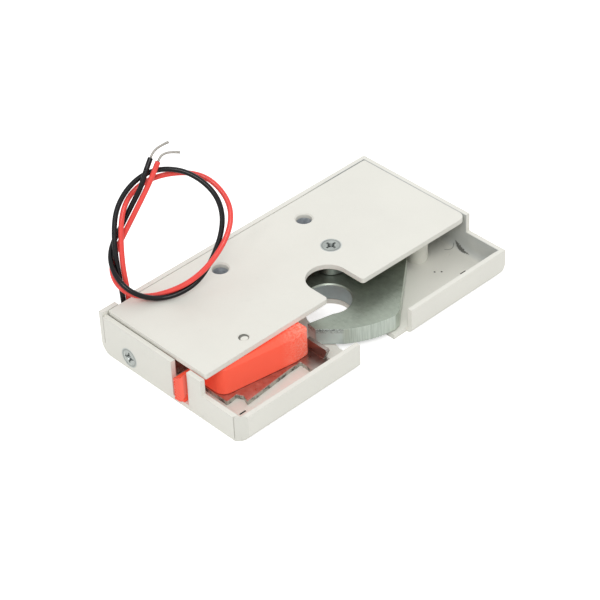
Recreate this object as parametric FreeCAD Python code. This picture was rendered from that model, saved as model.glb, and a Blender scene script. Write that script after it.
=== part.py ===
import FreeCAD, Part
import math
import os

# Rotary hook lock with a solenoid, in a folded steel tray. Millimetres.
# +X runs along the long side, the striker enters from -Y, +Z is up.
# The origin is the middle of the footprint, on the face that bolts down.

V = FreeCAD.Vector
X_AXIS = V(1, 0, 0)
Y_AXIS = V(0, 1, 0)
Z_AXIS = V(0, 0, 1)

# tray, folded from sheet and painted
TRAY_L = 120.0
TRAY_W = 66.2
TRAY_H = 16.5
SHEET = 1.8
BEND_OUT = 4.3
FRONT_BEND_IN = 0.2
LOW_WALL = 9.5
LEFT_WALL_H = TRAY_H - 1.3
LEFT_STEP_Y = -15.4
RIGHT_STEP_Y = -16.8
FRONT_GAP_X0 = -8.4
FRONT_GAP_X1 = 15.1
CORNER_BEVEL = 3.0
X0 = -TRAY_L / 2
X1 = TRAY_L / 2
Y0 = -TRAY_W / 2
Y1 = TRAY_W / 2
INNER_X0 = X0 + SHEET
INNER_X1 = X1 - SHEET
INNER_Y0 = Y0 + SHEET
INNER_Y1 = Y1 - SHEET
COVER_Z0 = TRAY_H - SHEET
TAB_NOTCH_Y0 = -8.9
TAB_NOTCH_Y1 = -1.6
WIRE_NOTCH_X0 = INNER_X0 + 4.9
WIRE_NOTCH_X1 = INNER_X0 + 12.0
WIRE_NOTCH_Z = 9.5

# striker slot, the same centre in cover, hook and floor
SLOT_X = 2.5
SLOT_Y = -7.75
SLOT_R = 7.3
POCKET_R = 7.7

# through holes for the two mounting bolts
BOLT_R = 2.75
BOLT_RIGHT = (19.9, 21.55)
BOLT_LEFT = (-18.0, 21.55)
SPACER_R = 3.5
PIN_WINDOW_R = 1.7

# countersunk screws
SCREW_R = 2.0
SCREW_HEAD_R = 3.6
SCREW_RIM = 0.2

# hook
HUB_X = 15.6
HUB_Y = 4.2
HOOK_LIFT = 0.3
HOOK_Z0 = SHEET + HOOK_LIFT
HOOK_T = 6.0
HOOK_TOP = HOOK_Z0 + HOOK_T
HOOK_R = 34.1
HUB_R = 12.5
POST_R = 4.0
RIVET_R = 3.0
RUNNING_GAP = 0.05
BUSH_R = 5.6
TOOTH_R = 16.5
STOP_X = 44.3
STOP_Y = -7.6
STOP_R = 3.6
STOP_FOOT_R = 2.2

# spring that opens the hook, between a pin on the hook and a post on the floor
SPRING_PIN_X = 29.3
SPRING_PIN_Y = -1.2
SPRING_PIN_R = 1.3
ANCHOR_X = INNER_X1 - 10.2
ANCHOR_Y = 20.0
ANCHOR_R = 1.6
ANCHOR_FOOT_R = 1.2
SPRING_Z = 10.2
SPRING_WIRE_R = 0.3
SPRING_COIL_R = 1.7
SPRING_LEG = 6.0
COIL_STEPS = 12
WIRE_SIDES = 6
RETURN_WIRE_R = 0.22
POST_HEAD_Z = 11.5

# pawl, drawn engaged and then turned back to its released pose
PAWL_X = -12.0
PAWL_Y = 2.0
PAWL_Z0 = HOOK_Z0 + 2.3
PAWL_T = 3.0
PAWL_SWING = 13.5
PAWL_TIP_R = 19.9
TIP_GAP = 0.3
PAWL_TIP_ANGLE = 36.0
PAWL_PIN_R = 2.0
PAWL_FOOT_R = 1.5
LINK_ARM = 11.0
LEVER_ARM = 5.26
LINK_PIN_R = 1.2
HALF_SWING = math.radians(PAWL_SWING / 2)
LINK_X = PAWL_X - LINK_ARM * math.sin(HALF_SWING)
AXIS_Y = PAWL_Y + LINK_ARM * math.cos(HALF_SWING)
STROKE = 2 * LINK_ARM * math.sin(HALF_SWING)
LEVER_LINK_X = PAWL_X - LEVER_ARM * math.cos(HALF_SWING)
LEVER_LINK_Y = PAWL_Y - LEVER_ARM * math.sin(HALF_SWING)

# solenoid
AXIS_Z = 7.6
FRAME_X0 = INNER_X0
FRAME_X1 = -26.0
FRAME_Z0 = SHEET
FRAME_Z1 = COVER_Z0 - 0.3
FRAME_FOOT_Y = INNER_Y1 - 4.3
END_PLATE = 3.0
NOSE_PLATE = 2.0
FRAME_SIDE = 1.6
FRAME_IN = 6.3
COIL_R = 5.5
BOBBIN_IN = 3.4
BOBBIN_OUT = 4.1
FLANGE_T = 1.0
IRON_R = 3.3
ROD_R = 1.5
CORE_X0 = -38.0
END_SCREW_Y = 19.5
END_SCREW_Z = 4.9

# release lever and its bracket
LEVER_X = -36.8
LEVER_Y = -10.1
LEVER_PIN_R = 1.5
BRACKET_T = 1.6
BRACKET_TOP = SHEET + BRACKET_T
FLANGE_X1 = -14.8
FLANGE_Y1 = -16.8
FLANGE_TOP = 7.5
FLANGE_SHEET = 1.4
LEVER_Z0 = BRACKET_TOP + 0.2
LEVER_Z1 = COVER_Z0 - 0.4
LEVER_END = -17.0
LEVER_CHAMFER = 1.2
TAB_HEAD_Y0 = TAB_NOTCH_Y0
TAB_Y0 = TAB_NOTCH_Y0 + 1.9
TAB_Y1 = TAB_NOTCH_Y1 - 1.3
TAB_PROUD = 0.6
TAB_TOP = 9.8
TAB_END = INNER_X0 + 9.2
HORN_TOP = LEFT_WALL_H - 0.9
WALL_CLEAR = 0.15
RIB_PITCH = 1.05
FINGER_Z0 = PAWL_Z0 + PAWL_T + 0.8
FINGER_Z1 = 11.0

# wires
WIRE_D = 1.75
STRAND_D = 1.1
BLACK_ROUTE = [
    (-50.5, 19.5, 7.7), (-50.5, 25.4, 7.7), (-50.4, 32.0, 10.6), (-49.4, 33.9, 19.6),
    (-47.9, 36.8, 24.8), (-46.3, 39.4, 30.3), (-43.6, 42.4, 35.4), (-40.5, 44.5, 40.0),
    (-36.5, 45.1, 44.0), (-32.0, 44.2, 47.6), (-27.7, 41.9, 50.1), (-23.3, 38.1, 50.9),
    (-19.3, 33.5, 49.9), (-16.6, 28.1, 47.0), (-15.6, 23.4, 43.1), (-16.7, 19.9, 38.5),
    (-19.6, 17.7, 34.0), (-23.5, 16.3, 29.9), (-27.6, 15.5, 26.3), (-31.9, 15.9, 22.4),
    (-36.4, 17.8, 19.6), (-41.1, 20.9, 17.8), (-45.9, 24.5, 18.2), (-50.0, 28.6, 20.9),
    (-51.1, 33.5, 24.2), (-49.0, 39.1, 26.9), (-45.1, 42.6, 29.8), (-39.8, 43.3, 34.2),
    (-35.8, 42.3, 40.6), (-32.8, 40.2, 47.3), (-29.6, 41.1, 51.7), (-26.5, 42.0, 54.7)]
RED_ROUTE = [
    (-48.5, 19.5, 7.7), (-48.4, 25.4, 7.7), (-48.3, 32.1, 10.6), (-48.3, 32.3, 19.6),
    (-46.9, 35.2, 24.4), (-45.2, 37.5, 28.9), (-43.1, 39.8, 33.4), (-40.7, 41.9, 37.8),
    (-37.3, 43.6, 41.5), (-32.8, 44.6, 43.8), (-28.4, 43.3, 46.0), (-24.5, 40.4, 47.6),
    (-20.5, 37.2, 48.2), (-16.7, 33.7, 47.9), (-13.8, 29.4, 46.5), (-12.6, 24.4, 43.4),
    (-13.0, 20.3, 39.5), (-15.1, 17.9, 35.4), (-18.5, 16.7, 31.5), (-22.9, 16.5, 27.4),
    (-28.1, 17.3, 23.4), (-33.4, 19.4, 20.1), (-38.9, 22.4, 18.2), (-44.3, 25.8, 17.4),
    (-48.8, 29.3, 18.4), (-51.4, 33.2, 21.6), (-49.4, 38.7, 24.2), (-44.7, 41.3, 27.8),
    (-41.3, 41.0, 32.2), (-37.2, 40.8, 37.1), (-33.8, 39.8, 42.7), (-30.5, 39.1, 47.8),
    (-27.6, 39.1, 51.8), (-25.6, 39.4, 54.1)]
BLACK_STRAND = [(-24.6, 42.2, 56.4), (-22.7, 41.6, 57.6), (-20.0, 40.2, 58.5)]
RED_STRAND = [(-23.7, 39.3, 55.9), (-21.7, 38.3, 56.4), (-19.3, 35.8, 56.2)]

os.makedirs("parts", exist_ok=True)


def box(x0, x1, y0, y1, z0, z1):
    return Part.makeBox(x1 - x0, y1 - y0, z1 - z0, V(x0, y0, z0))


def post(x, y, z0, z1, r):
    return Part.makeCylinder(r, z1 - z0, V(x, y, z0), Z_AXIS)


def rod(x0, x1, y, z, r):
    return Part.makeCylinder(r, x1 - x0, V(x0, y, z), X_AXIS)


def prism(points, z0, z1):
    ring = [V(x, y, z0) for x, y in points]
    ring.append(ring[0])
    face = Part.Face(Part.makePolygon(ring))
    return face.extrude(V(0, 0, z1 - z0))


def cut(solid, *tools):
    for tool in tools:
        solid = solid.cut(tool)
    return solid


def fuse(solid, *others):
    for other in others:
        solid = solid.fuse(other)
    return solid.removeSplitter()


def turned(shape, x, y, degrees):
    copy = shape.copy()
    copy.rotate(V(x, y, 0), Z_AXIS, degrees)
    return copy


def upright_edges_near(shape, spots, reach=0.6):
    found = []
    for edge in shape.Edges:
        if len(edge.Vertexes) != 2:
            continue
        a = edge.Vertexes[0].Point
        b = edge.Vertexes[1].Point
        if math.hypot(a.x - b.x, a.y - b.y) > 0.01:
            continue
        for x, y in spots:
            if math.hypot(a.x - x, a.y - y) < reach:
                found.append(edge)
                break
    return found


def rounded(shape, radius, spots):
    return shape.makeFillet(radius, upright_edges_near(shape, spots))


def save(name, shape):
    solid = shape
    if len(shape.Solids) == 1:
        solid = shape.Solids[0]
    solid.exportStep("parts/" + name + ".step")
    print(name, "solids", len(shape.Solids), "volume", round(shape.Volume, 1), "valid", shape.isValid())


def long_edges(solid, x, z):
    found = []
    for edge in solid.Edges:
        centre = edge.BoundBox.Center
        if edge.BoundBox.YLength > 0.5 and abs(centre.x - x) < 0.01 and abs(centre.z - z) < 0.01:
            found.append(edge)
    return found


def trough(low, high, y0, y1, bottom, top, low_r, high_r):
    solid = box(low, high, y0, y1, bottom, top)
    for x, radius in ((low, low_r), (high, high_r)):
        if radius > 0:
            solid = solid.makeFillet(radius, long_edges(solid, x, bottom))
    return solid


def folded_block(x0, x1, y0, y1, bottom, top, bend, front_bend):
    # two troughs crossed: the left wall meets the floor square, the others are bent up
    along = trough(x0, x1, y0, y1, bottom, top, 0, bend)
    across = trough(y0, y1, -x1, -x0, bottom, top, front_bend, bend)
    across.rotate(V(0, 0, 0), Z_AXIS, 90)
    return along.common(across)


def tray_shell():
    outer = folded_block(X0, X1, Y0, Y1, 0, TRAY_H, BEND_OUT, FRONT_BEND_IN + SHEET)
    bend_in = BEND_OUT - SHEET
    top = TRAY_H + 2
    inner = folded_block(INNER_X0, INNER_X1, INNER_Y0, INNER_Y1, SHEET, top, bend_in, FRONT_BEND_IN)
    return outer.cut(inner)


def floor_slot():
    points = [(SLOT_X, SLOT_Y), (SLOT_X + POCKET_R, SLOT_Y), (9.4, -24.0), (9.0, Y0 - 1)]
    points += [(-7.7, Y0 - 1), (-7.7, -23.0), (-5.2, -14.0), (SLOT_X - POCKET_R, SLOT_Y)]
    mouth = prism(points, -1, SHEET + 1)
    return mouth.fuse(post(SLOT_X, SLOT_Y, -1, SHEET + 1, POCKET_R))


def crescent():
    big = Part.makeCylinder(17.0, 3.0, V(INNER_X1 + 8.1, -4.0, 1.3), Z_AXIS)
    small = Part.makeCylinder(17.0, 3.0, V(INNER_X1 + 9.1, -4.9, 1.3), Z_AXIS)
    window = box(INNER_X1 - 5.6, INNER_X1 + 0.4, -14.5, -3.4, 1.3, 2.5)
    return big.cut(small).common(window)


def floor_scribe():
    outer = Part.makeCylinder(5.2, 0.4, V(INNER_X1 - 7.3, -0.6, SHEET - 0.25), Z_AXIS)
    inner = Part.makeCylinder(4.95, 0.4, V(INNER_X1 - 7.3, -0.6, SHEET - 0.25), Z_AXIS)
    return outer.cut(inner).common(box(INNER_X1 - 7.8, INNER_X1 - 2.0, -7.0, -2.2, 1, 3))


def countersink(z_top):
    cone = Part.makeCone(SCREW_R, SCREW_HEAD_R, SCREW_HEAD_R - SCREW_R, V(0, 0, z_top - SHEET), Z_AXIS)
    rim = Part.makeCylinder(SCREW_HEAD_R, 1.0, V(0, 0, z_top - SCREW_RIM), Z_AXIS)
    hole = Part.makeCylinder(SCREW_R, 3.0, V(0, 0, z_top - SHEET - 1.2), Z_AXIS)
    return cone.fuse(rim).fuse(hole)


def end_screw_place(shape):
    copy = shape.copy()
    copy.rotate(V(0, 0, 0), Y_AXIS, -90)
    copy.translate(V(X0, END_SCREW_Y, END_SCREW_Z))
    return copy


def housing_tray():
    tray = tray_shell()
    gap = box(FRONT_GAP_X0, FRONT_GAP_X1, Y0 - 1, INNER_Y0 + 0.01, SHEET, TRAY_H + 1)
    front_top = box(X0 - 1, X1 + 1, Y0 - 1, INNER_Y0 + 0.01, LOW_WALL, TRAY_H + 1)
    left_top = box(X0 - 1, INNER_X0 + 0.01, Y0 - 1, INNER_Y1, LEFT_WALL_H, TRAY_H + 1)
    left_step = box(X0 - 1, INNER_X0 + 0.01, Y0 - 1, LEFT_STEP_Y, LOW_WALL, TRAY_H + 1)
    right_step = box(INNER_X1 - 0.01, X1 + 1, Y0 - 1, RIGHT_STEP_Y, LOW_WALL, TRAY_H + 1)
    tray = cut(tray, gap, front_top, left_top, left_step, right_step, floor_slot())
    fold_cut = box(FRONT_GAP_X0, FRONT_GAP_X1, Y0 - 1, Y0 + 2.2, -1, SHEET + 3)
    tab_notch = box(X0 - 1, INNER_X0 + 2.6, TAB_NOTCH_Y0, TAB_NOTCH_Y1, SHEET, TRAY_H + 1)
    wire_notch = box(WIRE_NOTCH_X0, WIRE_NOTCH_X1, INNER_Y1 - 0.5, Y1 + 1, WIRE_NOTCH_Z, TRAY_H + 1)
    tray = cut(tray, fold_cut, tab_notch, wire_notch)
    bevel = prism([(X0 - 1, Y0 - 1), (X0 + CORNER_BEVEL, Y0 - 1), (X0 + CORNER_BEVEL, Y0)]
                  + [(X0, Y0 + CORNER_BEVEL), (X0 - 1, Y0 + CORNER_BEVEL)], -1, TRAY_H)
    seam = box(X0 - 1, X0 + 0.75, Y0 + CORNER_BEVEL, Y0 + CORNER_BEVEL + 0.28, 1.2, LOW_WALL + 1)
    back_seam = box(X0 - 1, X0 + 0.6, INNER_Y1 - 0.1, INNER_Y1 + 0.15, BEND_OUT, TRAY_H + 1)
    right_seam = box(X1 - 0.6, X1 + 1, INNER_Y1 - 0.1, INNER_Y1 + 0.15, BEND_OUT, TRAY_H + 1)
    tray = cut(tray, bevel, seam, back_seam, right_seam)
    for x, y in ((X0 + 9.4, Y0 + 9.6), (X1 - 11.2, Y0 + 8.7)):
        slit = box(x - 1.3, x + 1.3, y - 0.3, y + 0.3, -1, SHEET + 1)
        tray = tray.cut(slit)
    tray = cut(tray, crescent(), floor_scribe(), end_screw_place(countersink(0)))
    holes = [(BOLT_LEFT, BOLT_R), (BOLT_RIGHT, BOLT_R), ((HUB_X, HUB_Y), RIVET_R)]
    holes += [((PAWL_X, PAWL_Y), PAWL_FOOT_R), ((STOP_X, STOP_Y), STOP_FOOT_R)]
    holes += [((ANCHOR_X, ANCHOR_Y), ANCHOR_FOOT_R)]
    for (x, y), r in holes:
        tray = tray.cut(post(x, y, -1, SHEET + 1, r))
    for x, y in (BOLT_LEFT, BOLT_RIGHT):
        tray = tray.cut(Part.makeCone(BOLT_R + 0.3, BOLT_R, 0.3, V(x, y, 0), Z_AXIS))
    for x, y in ((INNER_X1 - 15.7, -17.3), (INNER_X1 - 14.0, -18.9)):
        tray = tray.cut(post(x, y, SHEET - 0.3, SHEET + 1, 0.35))
    return tray


def cover_outline():
    left = INNER_X0 + 0.5
    right = INNER_X1 - 0.1
    back = INNER_Y1 - 0.3
    sx0 = SLOT_X - SLOT_R - 0.1
    sx1 = SLOT_X + SLOT_R - 0.1
    points = [(left, back), (left, LEFT_STEP_Y), (sx0, LEFT_STEP_Y), (sx0, SLOT_Y)]
    points += [(sx1, SLOT_Y), (sx1, RIGHT_STEP_Y + 0.3), (right, RIGHT_STEP_Y - 0.3), (right, back)]
    plate = prism(points, COVER_Z0, TRAY_H)
    plate = rounded(plate, 3.0, [(right, RIGHT_STEP_Y - 0.3)])
    plate = rounded(plate, 1.2, [(sx0, LEFT_STEP_Y), (sx1, RIGHT_STEP_Y + 0.3)])
    plate = rounded(plate, 0.6, [(left, back), (right, back), (left, LEFT_STEP_Y)])
    return plate.cut(post(SLOT_X - 0.1, SLOT_Y, COVER_Z0 - 1, TRAY_H + 1, SLOT_R))


def cover_plate():
    plate = cover_outline()
    place = V(HUB_X, HUB_Y, 0)
    sink = countersink(TRAY_H)
    sink.translate(place)
    plate = plate.cut(sink)
    for x, y in (BOLT_LEFT, BOLT_RIGHT):
        plate = plate.cut(post(x, y, COVER_Z0 - 1, TRAY_H + 1, BOLT_R))
        plate = plate.cut(Part.makeCone(BOLT_R, BOLT_R + 0.5, 0.5, V(x, y, TRAY_H - 0.5), Z_AXIS))
    plate = plate.cut(post(LEVER_X, LEVER_Y, COVER_Z0 - 1, TRAY_H + 1, PIN_WINDOW_R))
    bottom = Part.makeCone(PIN_WINDOW_R, PIN_WINDOW_R + 0.25, 0.25, V(LEVER_X, LEVER_Y, TRAY_H - 0.25), Z_AXIS)
    return plate.cut(bottom)


def screw(length):
    body = Part.makeCylinder(SCREW_R, length, V(0, 0, -length), Z_AXIS)
    head_h = SCREW_HEAD_R - SCREW_R
    head = Part.makeCone(SCREW_R, SCREW_HEAD_R, head_h, V(0, 0, -head_h - SCREW_RIM), Z_AXIS)
    rim = Part.makeCylinder(SCREW_HEAD_R, SCREW_RIM, V(0, 0, -SCREW_RIM), Z_AXIS)
    shape = fuse(body, head, rim)
    shape = shape.cut(box(-2.0, 2.0, -0.36, 0.36, -1.2, 1))
    shape = shape.cut(box(-0.36, 0.36, -2.0, 2.0, -1.2, 1))
    shape = shape.cut(Part.makeCone(0.5, 1.2, 1.6, V(0, 0, -1.6), Z_AXIS))
    return shape


def hub_point(radius, degrees):
    a = math.radians(degrees)
    return (HUB_X + radius * math.cos(a), HUB_Y + radius * math.sin(a))


def hook_tooth():
    wedge = [(HUB_X, HUB_Y), hub_point(HUB_R - 0.5, 110), hub_point(TOOTH_R, 126)]
    wedge += [hub_point(24, 134), hub_point(24, 156)]
    tooth = prism(wedge, HOOK_Z0, HOOK_TOP)
    tooth = tooth.common(post(HUB_X, HUB_Y, HOOK_Z0, HOOK_TOP, TOOTH_R))
    return tooth.cut(post(PAWL_X, PAWL_Y, 0, TRAY_H, PAWL_TIP_R + TIP_GAP))


def hook_plate():
    tip_in = (-11.35, -12.25)
    tip_out = (-11.65, -16.0)
    face_a = V(*hub_point(HOOK_R, -128.0), HOOK_Z0)
    face_m = V(*hub_point(HOOK_R, -112.5), HOOK_Z0)
    face_b = V(*hub_point(HOOK_R, -97.3), HOOK_Z0)
    rest = [(13.85, -28.9), (36.5, -10.3), (33.5, -1.0), (24.0, 10.0), (8.0, 12.5)]
    rest += [(1.5, 8.2), (-5.2, 3.0), (-5.2, -0.8), tip_in]
    first = [V(*tip_in, HOOK_Z0), V(*tip_out, HOOK_Z0), face_a]
    last = [face_b] + [V(x, y, HOOK_Z0) for x, y in rest]
    edges = Part.makePolygon(first).Edges
    edges.append(Part.Arc(face_a, face_m, face_b).toShape())
    edges += Part.makePolygon(last).Edges
    plate = Part.Face(Part.Wire(edges)).extrude(V(0, 0, HOOK_T))
    plate = rounded(plate, 2.5, [(36.5, -10.3), (33.5, -1.0)])
    return rounded(plate, 0.6, [(13.85, -28.9), tip_out])


def hook():
    plate = hook_plate().fuse(post(HUB_X, HUB_Y, HOOK_Z0, HOOK_TOP, HUB_R)).fuse(hook_tooth())
    slope = math.tan(math.radians(14.0))
    start = (0.64, -15.22)
    reach = -20.0
    mouth = [(SLOT_X, SLOT_Y + POCKET_R), (reach, SLOT_Y + POCKET_R)]
    mouth += [(reach, start[1] + (start[0] - reach) * slope), start]
    plate = plate.cut(prism(mouth, 0, TRAY_H))
    plate = plate.cut(post(SLOT_X, SLOT_Y, 0, TRAY_H, POCKET_R))
    rim = Part.makeCone(POCKET_R, POCKET_R + 0.45, 0.45, V(SLOT_X, SLOT_Y, HOOK_TOP - 0.45), Z_AXIS)
    plate = plate.cut(rim)
    plate = plate.cut(post(HUB_X, HUB_Y, 0, TRAY_H, POST_R + RUNNING_GAP))
    plate = plate.cut(post(SPRING_PIN_X, SPRING_PIN_Y, HOOK_TOP - 3.0, HOOK_TOP + 1, SPRING_PIN_R))
    return plate.removeSplitter()


def hook_spring_pin():
    stem = post(SPRING_PIN_X, SPRING_PIN_Y, HOOK_TOP - 3.0, POST_HEAD_Z + 0.5, SPRING_PIN_R)
    head = post(SPRING_PIN_X, SPRING_PIN_Y, POST_HEAD_Z, POST_HEAD_Z + 0.9, SPRING_PIN_R + 0.5)
    return fuse(stem, head)


def hook_pivot_post():
    shape = fuse(post(HUB_X, HUB_Y, 0, SHEET + 0.4, RIVET_R), post(HUB_X, HUB_Y, SHEET, COVER_Z0, POST_R))
    return shape.cut(post(HUB_X, HUB_Y, 6.0, TRAY_H, SCREW_R))


def stop_post():
    foot = post(STOP_X, STOP_Y, 0, SHEET + 0.4, STOP_FOOT_R)
    return fuse(foot, post(STOP_X, STOP_Y, SHEET, COVER_Z0, STOP_R))


def ring_part(x, y, z0, z1, r_out, r_in):
    return post(x, y, z0, z1, r_out).cut(post(x, y, z0 - 1, z1 + 1, r_in))


def spacer(place):
    tube = ring_part(place[0], place[1], SHEET, COVER_Z0, SPACER_R, BOLT_R)
    return tube


def solenoid_frame():
    y0 = AXIS_Y - FRAME_IN - FRAME_SIDE
    y1 = AXIS_Y + FRAME_IN + FRAME_SIDE
    left = box(FRAME_X0, FRAME_X0 + END_PLATE, y0, FRAME_FOOT_Y, FRAME_Z0, FRAME_Z1)
    right = box(FRAME_X1 - NOSE_PLATE, FRAME_X1, y0, y1, FRAME_Z0, FRAME_Z1)
    side_a = box(FRAME_X0, FRAME_X1, y0, y0 + FRAME_SIDE, FRAME_Z0, FRAME_Z1)
    side_b = box(FRAME_X0, FRAME_X1, y1 - FRAME_SIDE, y1, FRAME_Z0, FRAME_Z1)
    frame = fuse(left, right, side_a, side_b)
    frame = frame.cut(rod(FRAME_X0 - 1, FRAME_X0 + 9, END_SCREW_Y, END_SCREW_Z, SCREW_R))
    frame = frame.cut(rod(FRAME_X1 - 5, FRAME_X1 + 5, AXIS_Y, AXIS_Z, IRON_R))
    leads = box(FRAME_X0 + 5.3, FRAME_X0 + 11.2, y1 - FRAME_SIDE - 1, y1 + 1, AXIS_Z - 1.5, AXIS_Z + 1.7)
    return frame.cut(leads)


def solenoid_bobbin():
    x0 = FRAME_X0 + END_PLATE
    x1 = FRAME_X1 - NOSE_PLATE
    tube = rod(x0, x1, AXIS_Y, AXIS_Z, BOBBIN_OUT)
    flange_a = rod(x0, x0 + FLANGE_T, AXIS_Y, AXIS_Z, COIL_R + 0.25)
    flange_b = rod(x1 - FLANGE_T, x1, AXIS_Y, AXIS_Z, COIL_R + 0.25)
    shape = fuse(tube, flange_a, flange_b)
    return shape.cut(rod(x0 - 1, x1 + 1, AXIS_Y, AXIS_Z, BOBBIN_IN))


def solenoid_coil():
    x0 = FRAME_X0 + END_PLATE + FLANGE_T
    x1 = FRAME_X1 - NOSE_PLATE - FLANGE_T
    return rod(x0, x1, AXIS_Y, AXIS_Z, COIL_R).cut(rod(x0 - 1, x1 + 1, AXIS_Y, AXIS_Z, BOBBIN_OUT))


def solenoid_core():
    core = rod(CORE_X0, FRAME_X1 + 0.6, AXIS_Y, AXIS_Z, IRON_R)
    core = core.cut(rod(CORE_X0 - 1, FRAME_X1 + 2, AXIS_Y, AXIS_Z, ROD_R + 0.15))
    return core.cut(rod(CORE_X0 - 1, CORE_X0 + 4.0, AXIS_Y, AXIS_Z, 2.9))


def plunger():
    iron = rod(FRAME_X0 + 4.0, CORE_X0 - STROKE - 0.4, AXIS_Y, AXIS_Z, IRON_R)
    iron = iron.cut(Part.makeCone(2.2, 1.2, 1.2, V(FRAME_X0 + 4.0, AXIS_Y, AXIS_Z), X_AXIS))
    stem = rod(CORE_X0 - STROKE - 1.0, -17.8, AXIS_Y, AXIS_Z, ROD_R)
    return fuse(iron, stem)


def plunger_link():
    block = box(-20.2, -17.3, AXIS_Y - 3, AXIS_Y + 3, AXIS_Z - 3, AXIS_Z + 3)
    tongue = box(-17.4, -9.6, AXIS_Y - 3, AXIS_Y + 3, PAWL_Z0 + PAWL_T + 0.2, AXIS_Z + 3)
    shape = fuse(block, tongue)
    shape = rounded(shape, 2.4, [(-9.6, AXIS_Y - 3), (-9.6, AXIS_Y + 3)])
    shape = shape.cut(rod(-22, -17.8, AXIS_Y, AXIS_Z, ROD_R))
    return shape.cut(post(LINK_X, AXIS_Y, 0, TRAY_H, LINK_PIN_R))


def plunger_link_pin():
    return post(LINK_X, AXIS_Y, PAWL_Z0 - 0.8, AXIS_Z + 3.4, LINK_PIN_R)


def coil(radius, wire_r, z0, z1, turns):
    # short straight lengths of six-sided wire, mitred into each other
    route = []
    steps = int(turns * COIL_STEPS)
    for i in range(steps + 1):
        a = 2 * math.pi * i / COIL_STEPS
        route.append(V(radius * math.cos(a), radius * math.sin(a), z0 + (z1 - z0) * i / steps))
    return mitred_wire(route, wire_r)


def mitred_wire(route, wire_r):
    heading = route[1].sub(route[0]).normalize()
    side = heading.cross(V(0.3, 0.2, 1)).normalize()
    up = heading.cross(side)
    ring = []
    for k in range(WIRE_SIDES + 1):
        a = 2 * math.pi * k / WIRE_SIDES
        ring.append(route[0].add(side * (wire_r * math.cos(a))).add(up * (wire_r * math.sin(a))))
    return Part.makePolygon(route).makePipeShell([Part.makePolygon(ring)], True, False, 1)


def return_spring():
    x0 = CORE_X0 - STROKE - 0.35
    x1 = CORE_X0 + 3.95
    wire_r = RETURN_WIRE_R
    spring = coil(2.3, wire_r, 1.5 * wire_r, x1 - x0 - 1.5 * wire_r, 4)
    spring.rotate(V(0, 0, 0), Y_AXIS, 90)
    spring.translate(V(x0, AXIS_Y, AXIS_Z))
    return spring


def pawl_strut():
    reach = PAWL_TIP_R + 3
    strut = prism([(0, -1.9), (reach, -1.9), (reach, 2.6), (0, 2.6)], PAWL_Z0, PAWL_Z0 + PAWL_T)
    strut = turned(strut, 0, 0, PAWL_TIP_ANGLE)
    return strut.common(post(0, 0, 0, TRAY_H, PAWL_TIP_R))


def pawl():
    z1 = PAWL_Z0 + PAWL_T
    boss = post(0, 0, PAWL_Z0, z1, 4.0)
    tail = prism([(0, -2.6), (LINK_ARM + 1.5, -2.6), (LINK_ARM + 1.5, 2.6), (0, 2.6)], PAWL_Z0, z1)
    tail = tail.fuse(post(LINK_ARM + 1.5, 0, PAWL_Z0, z1, 2.6))
    slot = prism([(LINK_ARM - 0.8, -LINK_PIN_R - 0.05), (LINK_ARM + 0.8, -LINK_PIN_R - 0.05),
                  (LINK_ARM + 0.8, LINK_PIN_R + 0.05), (LINK_ARM - 0.8, LINK_PIN_R + 0.05)], 0, TRAY_H)
    slot = slot.fuse(post(LINK_ARM - 0.8, 0, 0, TRAY_H, LINK_PIN_R + 0.05))
    slot = slot.fuse(post(LINK_ARM + 0.8, 0, 0, TRAY_H, LINK_PIN_R + 0.05))
    up = 90 - PAWL_SWING / 2
    ear = prism([(0, -2.2), (LEVER_ARM, -2.2), (LEVER_ARM, 2.2), (0, 2.2)], PAWL_Z0, z1)
    ear = ear.fuse(post(LEVER_ARM, 0, PAWL_Z0, z1, 2.2)).cut(post(LEVER_ARM, 0, 0, TRAY_H, LINK_PIN_R))
    ear_angle = 180 - PAWL_SWING / 2
    shape = boss.fuse(pawl_strut()).fuse(turned(tail, 0, 0, up)).fuse(turned(ear, 0, 0, ear_angle))
    shape = shape.cut(turned(slot, 0, 0, up)).cut(post(0, 0, 0, TRAY_H, PAWL_PIN_R + RUNNING_GAP))
    hole = post(LEVER_ARM, 0, 0, TRAY_H, LINK_PIN_R)
    shape = shape.cut(turned(hole, 0, 0, ear_angle)).removeSplitter()
    shape = turned(shape, 0, 0, PAWL_SWING)
    shape.translate(V(PAWL_X, PAWL_Y, 0))
    return shape


def pawl_pivot_pin():
    foot = post(PAWL_X, PAWL_Y, 0, SHEET + 0.2, PAWL_FOOT_R)
    collar = post(PAWL_X, PAWL_Y, SHEET, PAWL_Z0 - 0.1, 3.4)
    stem = post(PAWL_X, PAWL_Y, SHEET, PAWL_Z0 + PAWL_T + 0.5, PAWL_PIN_R)
    return fuse(foot, collar, stem)


def lever_link_pin():
    return post(LEVER_LINK_X, LEVER_LINK_Y, PAWL_Z0, FINGER_Z1 + 0.4, LINK_PIN_R)


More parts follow.
